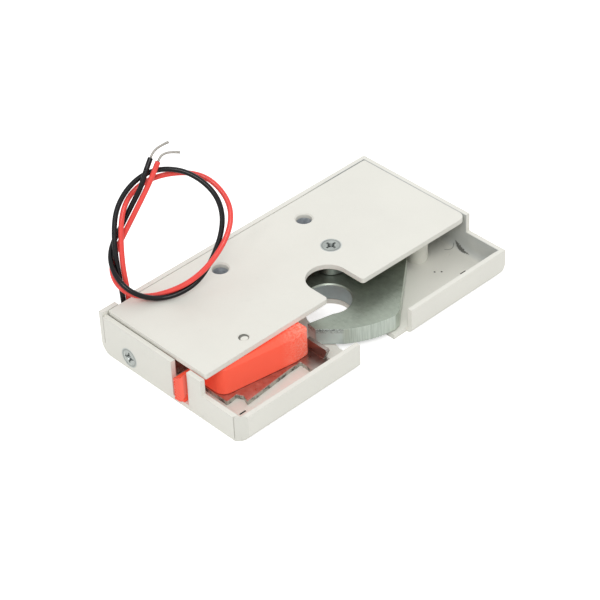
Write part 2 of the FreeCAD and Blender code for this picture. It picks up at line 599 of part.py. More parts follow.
def lever_tab():
    # a thin head outside the wall, a narrower shank through the notch, ribs for the fingertip
    outer_x = X0 - TAB_PROUD
    edge = TAB_HEAD_Y0
    outline = [(TAB_Y1, 1.5), (edge + 3.9, 1.5), (edge + 2.6, 2.2), (edge + 0.5, 5.8), (edge, 7.2)]
    outline += [(edge, HORN_TOP), (edge + 0.6, HORN_TOP), (edge + 2.3, TAB_TOP + 2.1), (TAB_Y1, TAB_TOP)]
    face = Part.Face(Part.makePolygon([V(outer_x, y, z) for y, z in outline + outline[:1]]))
    head = face.extrude(V(TAB_PROUD - WALL_CLEAR, 0, 0))
    shank = box(X0 - WALL_CLEAR - 0.1, TAB_END, TAB_Y0, TAB_Y1, SHEET + 0.3, TAB_TOP)
    low = box(INNER_X0 - 0.01, TAB_END + 1, TAB_Y0 - 1, TAB_Y1 + 1, 0, LEVER_Z0)
    tab = head.fuse(shank.cut(low)).removeSplitter()
    for i in range(7):
        rib = box(-0.4, 0.4, -0.75, 0.75, -0.26, 0.26)
        rib.translate(V(outer_x, TAB_Y1, 2.4 + i * RIB_PITCH))
        tab = tab.cut(rib)
    return tab


def front_top_edges(body, z):
    # the top edges that show below the cover: the front one, its corners and the right end
    found = []
    for edge in body.Edges:
        reach = edge.BoundBox
        flat = abs(reach.ZMin - z) < 1e-6 and abs(reach.ZMax - z) < 1e-6
        if flat and (reach.YMax < -8.0 or reach.XMin > LEVER_END - 0.1):
            found.append(edge)
    return found


def release_lever():
    left = INNER_X0 + 7.0
    points = [(left, -4.2), (left, -15.0), (-23.5, -19.4), (LEVER_END, -19.2), (LEVER_END, -8.6), (-28.0, -5.4)]
    body = prism(points, LEVER_Z0, LEVER_Z1)
    body = rounded(body, 3.6, [(left, -15.0)])
    body = rounded(body, 2.2, [(LEVER_END, -19.2)])
    body = rounded(body, 1.5, [(LEVER_END, -8.6), (left, -4.2)])
    body = body.makeChamfer(LEVER_CHAMFER, front_top_edges(body, LEVER_Z1))
    finger = box(-21.6, -12.9, -9.5, 3.7, FINGER_Z0, FINGER_Z1)
    finger = rounded(finger, 1.5, [(-21.6, 3.7), (-12.9, 3.7)])
    shape = fuse(body, lever_tab(), finger)
    slot = box(LEVER_LINK_X - 0.6, LEVER_LINK_X + 1.0, LEVER_LINK_Y - 1.35, LEVER_LINK_Y + 1.35, 0, TRAY_H)
    slot = slot.fuse(post(LEVER_LINK_X - 0.6, LEVER_LINK_Y, 0, TRAY_H, 1.35))
    slot = slot.fuse(post(LEVER_LINK_X + 1.0, LEVER_LINK_Y, 0, TRAY_H, 1.35))
    shape = shape.cut(slot).cut(post(LEVER_X, LEVER_Y, 0, TRAY_H, LEVER_PIN_R + RUNNING_GAP))
    # the block is hollow from behind, as a moulding would be
    pocket = box(INNER_X0 + 10.7, -40.5, -12.4, -6.6, 5.4, LEVER_Z1 + 1)
    pocket_b = box(-33.2, LEVER_END - 3.4, -14.6, -9.6, 5.4, LEVER_Z1 + 1)
    return cut(shape, pocket, pocket_b)


def lever_pivot_pin():
    return post(LEVER_X, LEVER_Y, SHEET, TRAY_H - 0.35, LEVER_PIN_R)


def lever_bracket():
    z1 = BRACKET_TOP
    left = INNER_X0
    front = INNER_Y0
    points = [(left + 6.6, -3.0), (left + 6.6, front + 13.7), (left + 10.9, front + 14.1)]
    points += [(left + 12.0, front + 11.9), (left + 11.1, front + 9.2), (-26.6, front + 11.1)]
    points += [(-23.6, front + 11.0), (-22.3, front + 9.5), (-22.7, front + 4.9), (FLANGE_X1, front + 4.9)]
    points += [(FLANGE_X1, FLANGE_Y1), (FLANGE_X1 - 3.2, FLANGE_Y1), (FLANGE_X1 - 3.2, -3.0)]
    plate = prism(points, SHEET, z1)
    side = [(FLANGE_Y1, SHEET), (front + 6.9, SHEET), (front + 6.9, z1 + 0.2), (front + 5.4, FLANGE_TOP - 0.6)]
    side += [(front + 6.0, FLANGE_TOP), (FLANGE_Y1, FLANGE_TOP)]
    outline = Part.makePolygon([V(FLANGE_X1 - FLANGE_SHEET, y, z) for y, z in side + side[:1]])
    flange = Part.Face(outline).extrude(V(FLANGE_SHEET, 0, 0))
    shape = fuse(plate, flange)
    outer_bend = box(FLANGE_X1 - 1.2, FLANGE_X1 + 1, front, FLANGE_Y1 + 1, SHEET - 0.1, SHEET + 1.2)
    outer_bend = outer_bend.cut(Part.makeCylinder(1.2, 40, V(FLANGE_X1 - 1.2, front - 1, SHEET + 1.2), Y_AXIS))
    shape = shape.cut(outer_bend).cut(post(-23.1, front + 10.4, 0, 5, 0.8))
    return shape.cut(post(LEVER_X, LEVER_Y, 0, 5, LEVER_PIN_R))


def spring_anchor_post():
    foot = post(ANCHOR_X, ANCHOR_Y, 0, SHEET + 0.2, ANCHOR_FOOT_R)
    stem = post(ANCHOR_X, ANCHOR_Y, SHEET, POST_HEAD_Z + 0.5, ANCHOR_R)
    head = post(ANCHOR_X, ANCHOR_Y, POST_HEAD_Z, POST_HEAD_Z + 0.9, ANCHOR_R + 0.5)
    return fuse(foot, stem, head)


def hook_spring():
    a = V(SPRING_PIN_X, SPRING_PIN_Y, SPRING_Z)
    b = V(ANCHOR_X, ANCHOR_Y, SPRING_Z)
    span = b.sub(a).Length
    wire_r = SPRING_WIRE_R
    coil_r = SPRING_COIL_R
    ring_a = Part.makeTorus(SPRING_PIN_R + wire_r + 0.02, wire_r, V(0, 0, 0), Y_AXIS)
    ring_b = Part.makeTorus(ANCHOR_R + wire_r + 0.02, wire_r, V(0, 0, span), Y_AXIS)
    body_0 = SPRING_LEG
    body_1 = span - SPRING_LEG
    body = coil(coil_r, wire_r, body_0, body_1, 9)
    leg_a = Part.makeLine(V(coil_r, 0, SPRING_PIN_R), V(coil_r, 0, body_0 + wire_r))
    leg_b = Part.makeLine(V(coil_r, 0, body_1 - wire_r), V(coil_r, 0, span - ANCHOR_R + 0.1))
    parts = []
    for wire in (leg_a, leg_b):
        start = wire.Vertexes[0].Point
        end = wire.Vertexes[1].Point
        parts.append(Part.makeCylinder(wire_r, end.sub(start).Length, start, end.sub(start)))
    spring = body
    for piece in parts + [ring_a, ring_b]:
        spring = spring.fuse(piece)
    along = b.sub(a)
    turn = FreeCAD.Rotation(Z_AXIS.cross(along), Z_AXIS, along, "ZYX")
    spring.Placement = FreeCAD.Placement(a, turn)
    return spring


def rounded_path(name, route):
    points = [V(*p) for p in route]
    edges = []
    start = points[0]
    smallest = 1e9
    for i in range(1, len(points) - 1):
        before = points[i].sub(points[i - 1])
        after = points[i + 1].sub(points[i])
        turn = before.getAngle(after)
        trim = 0.45 * min(before.Length, after.Length)
        smallest = min(smallest, trim / math.tan(turn / 2))
        back = V(before).normalize()
        ahead = V(after).normalize()
        arc_in = points[i].sub(back * trim)
        arc_out = points[i].add(ahead * trim)
        bisector = ahead.sub(back).normalize()
        radius = trim / math.tan(turn / 2)
        sag = radius * (1 / math.cos(turn / 2) - 1)
        edges.append(Part.LineSegment(start, arc_in).toShape())
        edges.append(Part.Arc(arc_in, points[i].add(bisector * sag), arc_out).toShape())
        start = arc_out
    edges.append(Part.LineSegment(start, points[-1]).toShape())
    path = Part.Wire(edges)
    print(name, "length", round(path.Length, 1), "smallest bend", round(smallest, 1))
    return path


def strand_route(wire, strand):
    end = V(*wire[-1])
    heading = end.sub(V(*wire[-2])).normalize()
    first = end.add(heading * 0.02)
    second = end.add(heading * 1.2)
    return [tuple(first), tuple(second)] + strand


def tube(name, route, diameter):
    path = rounded_path(name, route)
    start = V(*route[0])
    heading = V(*route[1]).sub(start)
    ring = Part.Wire(Part.makeCircle(diameter / 2, start, heading))
    shape = path.makePipeShell([ring], True, False)
    ideal = path.Length * math.pi * diameter ** 2 / 4
    print(name, "volume against section times length", round(shape.Volume / ideal, 3))
    return shape


def bolt_down_set():
    save("mounting_spacer_left", spacer(BOLT_LEFT))
    save("mounting_spacer_right", spacer(BOLT_RIGHT))


def main():
    save("housing_tray", housing_tray())
    save("cover_plate", cover_plate())
    save("hook", hook())
    save("hook_spring_pin", hook_spring_pin())
    save("hook_spring", hook_spring())
    save("hook_pivot_post", hook_pivot_post())
    save("hook_bush", ring_part(HUB_X, HUB_Y, HOOK_TOP + 0.25, COVER_Z0, BUSH_R, POST_R))
    save("hook_washer", ring_part(HUB_X, HUB_Y, SHEET, HOOK_Z0 - 0.05, 7.0, POST_R))
    cover_screw = screw(9.5)
    cover_screw.translate(V(HUB_X, HUB_Y, TRAY_H))
    save("cover_screw", cover_screw)
    save("end_wall_screw", end_screw_place(screw(4.7)))
    save("stop_post", stop_post())
    bolt_down_set()
    save("solenoid_frame", solenoid_frame())
    save("solenoid_bobbin", solenoid_bobbin())
    save("solenoid_coil", solenoid_coil())
    save("solenoid_core", solenoid_core())
    save("plunger", plunger())
    save("plunger_link", plunger_link())
    save("plunger_link_pin", plunger_link_pin())
    save("return_spring", return_spring())
    save("pawl", pawl())
    save("pawl_pivot_pin", pawl_pivot_pin())
    save("lever_link_pin", lever_link_pin())
    save("release_lever", release_lever())
    save("lever_pivot_pin", lever_pivot_pin())
    save("lever_bracket", lever_bracket())
    save("spring_anchor_post", spring_anchor_post())
    save("black_wire", tube("black_wire", BLACK_ROUTE, WIRE_D))
    save("red_wire", tube("red_wire", RED_ROUTE, WIRE_D))
    black_strand = strand_route(BLACK_ROUTE, BLACK_STRAND)
    save("black_conductor", tube("black_conductor", black_strand, STRAND_D))
    red_strand = strand_route(RED_ROUTE, RED_STRAND)
    save("red_conductor", tube("red_conductor", red_strand, STRAND_D))


main()
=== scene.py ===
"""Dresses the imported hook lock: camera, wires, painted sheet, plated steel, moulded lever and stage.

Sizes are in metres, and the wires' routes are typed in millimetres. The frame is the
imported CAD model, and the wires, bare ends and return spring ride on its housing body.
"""

import math

import bmesh
import bpy
from mathutils import Matrix, Vector


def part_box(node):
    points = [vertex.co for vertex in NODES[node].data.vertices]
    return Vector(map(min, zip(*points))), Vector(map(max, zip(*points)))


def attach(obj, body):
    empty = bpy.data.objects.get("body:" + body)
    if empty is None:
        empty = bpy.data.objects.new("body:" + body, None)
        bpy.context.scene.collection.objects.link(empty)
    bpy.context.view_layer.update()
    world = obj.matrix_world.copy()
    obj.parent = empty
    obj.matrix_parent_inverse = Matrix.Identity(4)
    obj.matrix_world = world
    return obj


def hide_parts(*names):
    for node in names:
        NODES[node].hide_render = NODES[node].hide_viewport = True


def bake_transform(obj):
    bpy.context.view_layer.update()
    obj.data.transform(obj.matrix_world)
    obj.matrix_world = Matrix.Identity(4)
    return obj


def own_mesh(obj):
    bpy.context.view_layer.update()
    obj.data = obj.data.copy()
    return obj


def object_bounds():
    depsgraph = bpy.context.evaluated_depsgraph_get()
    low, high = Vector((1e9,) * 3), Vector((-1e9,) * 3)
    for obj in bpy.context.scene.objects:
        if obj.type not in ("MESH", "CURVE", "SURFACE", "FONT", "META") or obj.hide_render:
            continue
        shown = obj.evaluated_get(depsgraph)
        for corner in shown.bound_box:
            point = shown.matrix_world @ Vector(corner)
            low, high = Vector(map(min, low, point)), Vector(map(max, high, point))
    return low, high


bl_info = {
    "name": "Hook lock dresser",
    "version": (1, 0, 0),
    "blender": (4, 5, 0),
    "location": "View3D > Sidebar > Lock",
    "description": "Gives a packed electromechanical hook lock its wires, finishes and studio stage",
    "category": "Object",
}

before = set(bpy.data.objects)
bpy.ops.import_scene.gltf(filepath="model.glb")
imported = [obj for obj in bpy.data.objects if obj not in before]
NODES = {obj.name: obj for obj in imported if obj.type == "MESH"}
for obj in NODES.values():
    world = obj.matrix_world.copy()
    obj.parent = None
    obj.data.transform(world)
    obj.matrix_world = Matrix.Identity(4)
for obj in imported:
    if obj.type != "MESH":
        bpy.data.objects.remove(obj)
CAD_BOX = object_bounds()
MM = 0.001

# the photograph's camera, fitted to the tray's corners
CAMERA_TURN = math.radians(-42.238)
CAMERA_RISE = math.radians(38.138)
CAMERA_ROLL = math.radians(-2.609)
CAMERA_AWAY = 0.73432
CAMERA_AIM = Vector((-0.004394, -0.001453, 0.0080))
CAMERA_LENS = 135.29
SENSOR = 36.0


def in_metres(points):
    return [tuple(round(c * MM, 7) for c in point) for point in points]


# centre lines of the two wires in millimetres, from the coil through the back wall and round the loop
BLACK_ROUTE = in_metres([
    (-50.5, 19.5, 7.7), (-50.5, 25.4, 7.7), (-50.4, 32.0, 10.6), (-49.4, 33.9, 19.6),
    (-47.9, 36.8, 24.8), (-46.3, 39.4, 30.3), (-43.6, 42.4, 35.4), (-40.5, 44.5, 40.0),
    (-36.5, 45.1, 44.0), (-32.0, 44.2, 47.6), (-27.7, 41.9, 50.1), (-23.3, 38.1, 50.9),
    (-19.3, 33.5, 49.9), (-16.6, 28.1, 47.0), (-15.6, 23.4, 43.1), (-16.5, 20.1, 38.3),
    (-19.1, 18.2, 33.4), (-22.7, 17.2, 29.0), (-26.6, 16.6, 25.1), (-30.9, 17.0, 21.2),
    (-35.8, 18.4, 18.9), (-40.9, 21.1, 17.6), (-45.9, 24.5, 18.2), (-50.0, 28.6, 20.9),
    (-51.1, 33.5, 24.2), (-49.0, 39.1, 26.9), (-45.1, 42.6, 29.8), (-39.8, 43.3, 34.2),
    (-35.8, 42.3, 40.6), (-32.8, 40.2, 47.3), (-29.6, 41.1, 51.7), (-26.5, 42.0, 54.7),
])
RED_ROUTE = in_metres([
    (-48.5, 19.5, 7.7), (-48.4, 25.4, 7.7), (-48.3, 32.1, 10.6), (-48.3, 32.3, 19.6),
    (-46.9, 35.2, 24.4), (-45.2, 37.5, 28.9), (-43.1, 39.8, 33.4), (-40.7, 41.9, 37.8),
    (-37.3, 43.6, 41.5), (-32.8, 44.6, 43.8), (-28.4, 43.3, 46.0), (-24.5, 40.4, 47.6),
    (-20.5, 37.2, 48.2), (-16.7, 33.7, 47.9), (-13.8, 29.4, 46.5), (-12.6, 24.4, 43.4),
    (-13.3, 20.0, 39.9), (-15.8, 17.1, 36.3), (-19.6, 15.5, 32.7), (-24.2, 15.1, 28.9),
    (-29.5, 15.8, 25.0), (-34.6, 18.1, 21.5), (-39.3, 21.9, 18.7), (-44.3, 25.8, 17.4),
    (-48.8, 29.3, 18.4), (-51.4, 33.2, 21.6), (-49.4, 38.7, 24.2), (-44.7, 41.3, 27.8),
    (-41.3, 41.0, 32.2), (-37.2, 40.8, 37.1), (-33.8, 39.8, 42.7), (-30.5, 39.1, 47.8),
    (-27.6, 39.1, 51.8), (-25.6, 39.4, 54.1),
])
BLACK_STRAND = in_metres([
    (-26.5, 42.0, 54.7), (-25.7, 42.2, 55.5), (-24.6, 42.2, 56.4), (-22.7, 41.6, 57.6),
    (-20.0, 40.2, 58.5),
])
RED_STRAND = in_metres([
    (-25.6, 39.4, 54.1), (-24.8, 39.5, 55.0), (-23.7, 39.3, 55.9), (-21.7, 38.3, 56.4),
    (-19.3, 35.8, 56.2),
])

BLACK_LENGTH = 0.1903
RED_LENGTH = 0.1892

# a strand of a bare end: its run for one full turn, the step of its points, its share of the width
STRAND_LAY = 0.0042
STRAND_STEP = 0.00022
STRAND_SHARE = 0.36
# the flat on the hook's nose ends here, and its scratches lie in a band near the top
TIP_X = -0.0057
SCRATCHED_Z = (0.0062, 0.0070)
# the stop post is bare on the hook's side of this plane and painted beyond it, and chipped at its top
STOP_PAINT_X = 0.0404
CHIPPED_Z = (0.0098, 0.0112)
# the hook's pocket, whose wall is bluish and smooth
POCKET = (0.0025, -0.00775, 0.0)
POCKET_R = 0.0077
HOOK_TOP = 0.0081
# marks cut in the tray's floor lie lower than this, and further out than this from the middle
FLOOR_TOP = 0.0018
MARKS_X = 0.0240
MARKS_Y = -0.0165
# painted shade curves down the foot of the right wall as a dark crescent, and a fine painted shadow line
# runs from it over the floor
CREASE_SHADE_CENTRE = (0.0752, -0.0185, 0.0)
CREASE_SHADE_R = 0.0182
CREASE_SHADE_MIDDLE_Y = -0.0156
CREASE_SHADE_REACH = 0.0047
CREASE_SHADE_HALF_WIDTH = 0.00058
CREASE_SHADE_TOP = 0.0041
CREASE_SHADE_FROM_X = 0.0500
SHADOW_LINE_CENTRE = (0.0560, -0.0103, 0.0)
SHADOW_LINE_R = 0.00224
SHADOW_LINE_END_Y = -0.0109
SHADOW_LINE_TOP = 0.0030
# the bevelled corner at the front left
BEVEL_X = -0.0567
BEVEL_Y = -0.0298
# the ribs on the lever's tab, and the end of the lever that fingers have rubbed pale
TAB_FACE_X = -0.0596
TAB_RIB_Y = -0.0068
RIB_PITCH = 0.00105
RUBBED_X = (-0.0290, -0.0185)
# the floor lies this far under the lock
FLOOR_GAP = 0.00002
# wire and turns of the plunger's return spring
RETURN_WIRE_R = 0.00022
RETURN_TURNS = 4
# the upper face of the sheet under the lever, and its right end, painted dark brown as a reflection
LEVER_SHEET_TOP = 0.0034
DARK_REFLECTION_X = (-0.0270, -0.0190)
# the inner faces of the tray's walls, and where painted shade darkens the floor deep under the cover
INSIDE_X = 0.0582
INSIDE_Y = 0.0313
SHADED_X = (0.0280, 0.0440)
SHADED_Y = (-0.0130, 0.0080)
# axes of the two countersunk screws, the reach of their recesses and of their heads
COVER_SCREW = (0.0156, 0.0042, 0.0)
END_SCREW = (0.0, 0.0195, 0.0049)
RECESS_R = 0.0021
SCREW_TOPS = {"X": 0.0600, "Z": 0.0165}
SCREW_HEAD_R = 0.0036
# the top of the lever's pin, seen through the small hole of the cover
PIN = (-0.0368, -0.0101, 0.0)
PIN_HOLE_R = 0.00178
PIN_SHADE = (-0.0370, -0.0108, 0.0)
PIN_SHADE_R = 0.00120

# the range that holds most of a noise, and the size of the paint's orange peel
NOISE_LOW = 0.3
NOISE_HIGH = 0.7
PEEL_SCALE = 1400.0

# tones that wear, dirt and cutting tools leave on the finishes, and tones of painted shade, sheen and
# highlights
GRIME = (0.42, 0.41, 0.36)
INSIDE_SHADE_TONE = (0.33, 0.36, 0.37)
BARE_AND_SHADED_DARK = (0.10, 0.10, 0.09)
BEVEL_SHADE = (0.40, 0.41, 0.37)
HOLE_SHADE = (0.30, 0.30, 0.27)
CUT_DARK = (0.44, 0.50, 0.44)
CUT_LIGHT = (0.66, 0.72, 0.65)
NOSE_SHEEN = (0.64, 0.72, 0.71)
NOSE_SCRATCH = (0.10, 0.12, 0.12)
POCKET_WALL = (0.43, 0.49, 0.49)
POCKET_RIM = (0.80, 0.83, 0.75)
SPARKLE = (0.88, 0.87, 0.74)
SCUFF = (0.09, 0.095, 0.085)
FIBRE_PALE = (1.0, 0.46, 0.36)


class LockSizes(bpy.types.PropertyGroup):
    wire_diameter: bpy.props.FloatProperty(
        name="Wire diameter", description="Over the insulation",
        default=1.75 * MM, min=0.5 * MM, unit="LENGTH")
    bare_diameter: bpy.props.FloatProperty(
        name="Bare end diameter", description="Over the twisted strands",
        default=0.82 * MM, min=0.3 * MM, unit="LENGTH")
    strands: bpy.props.IntProperty(
        name="Strands", description="Strands that show round each bare end", default=6, min=3, max=12)
    edge_softness: bpy.props.FloatProperty(
        name="Edge softness", description="Radius that the paint gives to cut edges",
        default=0.22 * MM, min=0.0, unit="LENGTH")


class LockColours(bpy.types.PropertyGroup):
    paint: bpy.props.FloatVectorProperty(
        name="Paint", description="Warm white of tray and cover", subtype="COLOR", size=3,
        default=(0.800, 0.793, 0.728), min=0.0, max=1.0)
    moulding: bpy.props.FloatVectorProperty(
        name="Release lever", description="Orange of the moulded lever", subtype="COLOR", size=3,
        default=(0.98, 0.115, 0.062), min=0.0, max=1.0)
    zinc: bpy.props.FloatVectorProperty(
        name="Zinc", description="Light parts of the plating", subtype="COLOR", size=3,
        default=(0.50, 0.53, 0.52), min=0.0, max=1.0)
    hook_metal: bpy.props.FloatVectorProperty(
        name="Hook", description="Grey green plating of hook and pawl", subtype="COLOR", size=3,
        default=(0.34, 0.385, 0.325), min=0.0, max=1.0)
    red_wire: bpy.props.FloatVectorProperty(
        name="Red wire", description="Insulation", subtype="COLOR", size=3,
        default=(0.93, 0.082, 0.068), min=0.0, max=1.0)
    black_wire: bpy.props.FloatVectorProperty(
        name="Black wire", description="Insulation", subtype="COLOR", size=3,
        default=(0.005, 0.005, 0.006), min=0.0, max=1.0)


class StageSettings(bpy.types.PropertyGroup):
    sky: bpy.props.FloatProperty(
        name="Sky", description="Strength of the even light all round", default=0.74, min=0.0)
    key: bpy.props.FloatProperty(
        name="Key lamp", description="Soft box above the striker's side",
        default=2.45, min=0.0, unit="POWER")
    strip: bpy.props.FloatProperty(
        name="Strip lamp", description="Narrow lamp that draws the glints on the wires",
        default=0.9, min=0.0, unit="POWER")
    fill: bpy.props.FloatProperty(
        name="Fill lamp", description="Soft box over the right end", default=1.6, min=0.0, unit="POWER")
    floor: bpy.props.FloatVectorProperty(
        name="Floor", description="Pale floor", subtype="COLOR", size=3,
        default=(0.88, 0.88, 0.875), min=0.0, max=1.0)


def put_in_scene(name, data):
    piece = bpy.data.objects.new(name, data)
    bpy.context.scene.collection.objects.link(piece)
    return piece


# Single nodes, and the shader groups that several materials share


def new_group(name, inputs, outputs):
    """An empty shader group with named sockets."""
    tree = bpy.data.node_groups.new(name, "ShaderNodeTree")
    for socket, kind, default in inputs:
        made = tree.interface.new_socket(name=socket, in_out="INPUT", socket_type=kind)
        made.default_value = default
    for socket, kind in outputs:
        tree.interface.new_socket(name=socket, in_out="OUTPUT", socket_type=kind)
    return tree, tree.nodes.new("NodeGroupInput"), tree.nodes.new("NodeGroupOutput")


def tree_of(*values):
    """The node tree of the first socket among the values."""
    return next(v for v in values if isinstance(v, bpy.types.NodeSocket)).id_data


def noise(vector, scale, detail=3.0, rough=0.5):
    tree = vector.id_data
    node = tree.nodes.new("ShaderNodeTexNoise")
    node.inputs["Detail"].default_value = detail
    node.inputs["Roughness"].default_value = rough
    if isinstance(scale, (int, float)):
        node.inputs["Scale"].default_value = scale
    else:
        tree.links.new(scale, node.inputs["Scale"])
    tree.links.new(vector, node.inputs["Vector"])
    return node.outputs["Fac"]


def math_node(kind, first, second=None, clamp=False):
    tree = tree_of(first, second)
    node = tree.nodes.new("ShaderNodeMath")
    node.operation = kind
    node.use_clamp = clamp
    for i, value in enumerate((first, second)):
        if value is None:
            continue
        if isinstance(value, (int, float)):
            node.inputs[i].default_value = value
        else:
            tree.links.new(value, node.inputs[i])
    return node.outputs[0]


def times(first, second):
    return math_node("MULTIPLY", first, second)


def plus(first, second):
    return math_node("ADD", first, second)


def ramp(value, low, high, out_low=0.0, out_high=1.0):
    tree = value.id_data
    node = tree.nodes.new("ShaderNodeMapRange")
    node.inputs["From Min"].default_value = low
    node.inputs["From Max"].default_value = high
    node.inputs["To Min"].default_value = out_low
    node.inputs["To Max"].default_value = out_high
    tree.links.new(value, node.inputs["Value"])
    return node.outputs["Result"]


def spread(value, low=0.0, high=1.0):
    """Stretches the middle of a noise, where most of it lies, over the wanted range."""
    return ramp(value, NOISE_LOW, NOISE_HIGH, low, high)


def blend_colour(factor, first, second, kind="MIX"):
    tree = tree_of(factor, first, second)
    node = tree.nodes.new("ShaderNodeMix")
    node.data_type = "RGBA"
    node.blend_type = kind
    # a Mix node has a set of sockets for each kind of data, and these are the colour ones
    sockets = (node.inputs[0], node.inputs[6], node.inputs[7])
    for socket, value in zip(sockets, (factor, first, second)):
        if isinstance(value, (int, float)):
            socket.default_value = value
        elif isinstance(value, (tuple, list)):
            socket.default_value = (*value[:3], 1.0)
        else:
            tree.links.new(value, socket)
    return node.outputs[2]


def scaled_place(vector, scale, turn=(0.0, 0.0, 0.0)):
    tree = vector.id_data
    node = tree.nodes.new("ShaderNodeMapping")
    node.inputs["Scale"].default_value = scale
    node.inputs["Rotation"].default_value = turn
    tree.links.new(vector, node.inputs["Vector"])
    return node.outputs["Vector"]


def away_from(place, centre, axis):
    """Distance of each point from a line through centre along the named axis."""
    tree = place.id_data
    flat = tree.nodes.new("ShaderNodeVectorMath")
    flat.operation = "MULTIPLY"
    flat.inputs[1].default_value = tuple(0.0 if axis == name else 1.0 for name in "XYZ")
    tree.links.new(place, flat.inputs[0])
    reach = tree.nodes.new("ShaderNodeVectorMath")
    reach.operation = "DISTANCE"
    reach.inputs[1].default_value = centre
    tree.links.new(flat.outputs["Vector"], reach.inputs[0])
    return reach.outputs["Value"]


def parts_of(vector):
    tree = vector.id_data
    split = tree.nodes.new("ShaderNodeSeparateXYZ")
    tree.links.new(vector, split.inputs[0])
    return split.outputs


def all_of(*masks):
    whole = masks[0]
    for mask in masks[1:]:
        whole = math_node("MULTIPLY", whole, mask, True)
    return whole


def apart(value, goal):
    """How far a value is from its goal, either way."""
    return math_node("ABSOLUTE", math_node("SUBTRACT", value, goal))


def paint_skin_group():
    """Powder coat: fine orange peel, faint clouds of tone and a little grime in patches."""
    tree, source, sink = new_group(
        "paint_skin",
        [("Place", "NodeSocketVector", (0, 0, 0)), ("Paint", "NodeSocketColor", (0.8, 0.8, 0.74, 1)),
         ("Grime", "NodeSocketFloat", 0.3), ("Peel", "NodeSocketFloat", PEEL_SCALE)],
        [("Color", "NodeSocketColor"), ("Roughness", "NodeSocketFloat"), ("Height", "NodeSocketFloat")])
    place = source.outputs["Place"]
    peel = noise(place, source.outputs["Peel"], 2.0, 0.55)
    fine = noise(place, 5200.0, 1.0)
    clouds = noise(place, 34.0, 4.0, 0.6)
    patches = noise(place, 160.0, 5.0, 0.65)
    tone = ramp(clouds, 0.35, 0.65, 0.965, 1.0)
    speck = spread(fine, 0.985, 1.01)
    shade = times(tone, speck)
    toned = blend_colour(1.0, source.outputs["Paint"], shade, "MULTIPLY")
    dirt = all_of(ramp(patches, 0.62, 0.82), source.outputs["Grime"])
    mixed = blend_colour(dirt, toned, GRIME)
    tree.links.new(mixed, sink.inputs["Color"])
    tree.links.new(ramp(peel, 0.2, 0.8, 0.42, 0.56), sink.inputs["Roughness"])
    height = plus(peel, times(fine, 0.25))
    tree.links.new(height, sink.inputs["Height"])
    return tree


def plated_group():
    """Zinc plate: mottled crystals, faint drawn lines, sparkles painted in as pale highlights, and small
    dark marks.
    """
    tree, source, sink = new_group(
        "plated_metal",
        [("Place", "NodeSocketVector", (0, 0, 0)), ("Light", "NodeSocketColor", (0.5, 0.53, 0.52, 1)),
         ("Dark", "NodeSocketColor", (0.25, 0.28, 0.27, 1)), ("Mottle", "NodeSocketFloat", 700.0),
         ("Lines", "NodeSocketVector", (0, 0, 0)), ("Marks", "NodeSocketFloat", 0.3),
         ("Low rough", "NodeSocketFloat", 0.28), ("High rough", "NodeSocketFloat", 0.5)],
        [("Color", "NodeSocketColor"), ("Roughness", "NodeSocketFloat"), ("Height", "NodeSocketFloat")])
    place = source.outputs["Place"]
    mottle = noise(place, source.outputs["Mottle"], 5.0, 0.62)
    broad = noise(place, 95.0, 3.0, 0.55)
    lines = noise(source.outputs["Lines"], 1.0, 3.0, 0.6)
    mixed = times(mottle, 0.45)
    mixed = plus(mixed, times(broad, 0.35))
    mixed = plus(mixed, times(lines, 0.2))
    share = ramp(mixed, 0.34, 0.66)
    colour = blend_colour(share, source.outputs["Dark"], source.outputs["Light"])
    # pale specks painted into the colour as sparkle highlights
    cells = tree.nodes.new("ShaderNodeTexVoronoi")
    cells.inputs["Scale"].default_value = 1700.0
    tree.links.new(place, cells.inputs["Vector"])
    sparkle = ramp(cells.outputs["Distance"], 0.16, 0.06)
    pick = ramp(noise(place, 900.0, 1.0), 0.58, 0.64)
    sparkle = all_of(sparkle, pick)
    colour = blend_colour(times(sparkle, 0.7), colour, SPARKLE)
    scuff = ramp(noise(place, 420.0, 6.0, 0.75), 0.60, 0.74)
    scuff = all_of(scuff, source.outputs["Marks"])
    colour = blend_colour(scuff, colour, SCUFF)
    tree.links.new(colour, sink.inputs["Color"])
    low = source.outputs["Low rough"]
    span = math_node("SUBTRACT", source.outputs["High rough"], low)
    rough = plus(low, times(span, spread(mottle)))
    tree.links.new(rough, sink.inputs["Roughness"])
    tree.links.new(plus(mottle, lines), sink.inputs["Height"])
    return tree


def shared(name):
    """The named group, built when it is first asked for."""
    makers = {"paint_skin": paint_skin_group, "plated_metal": plated_group}
    return bpy.data.node_groups.get(name) or makers[name]()


# Finishes and the nodes that they are built from


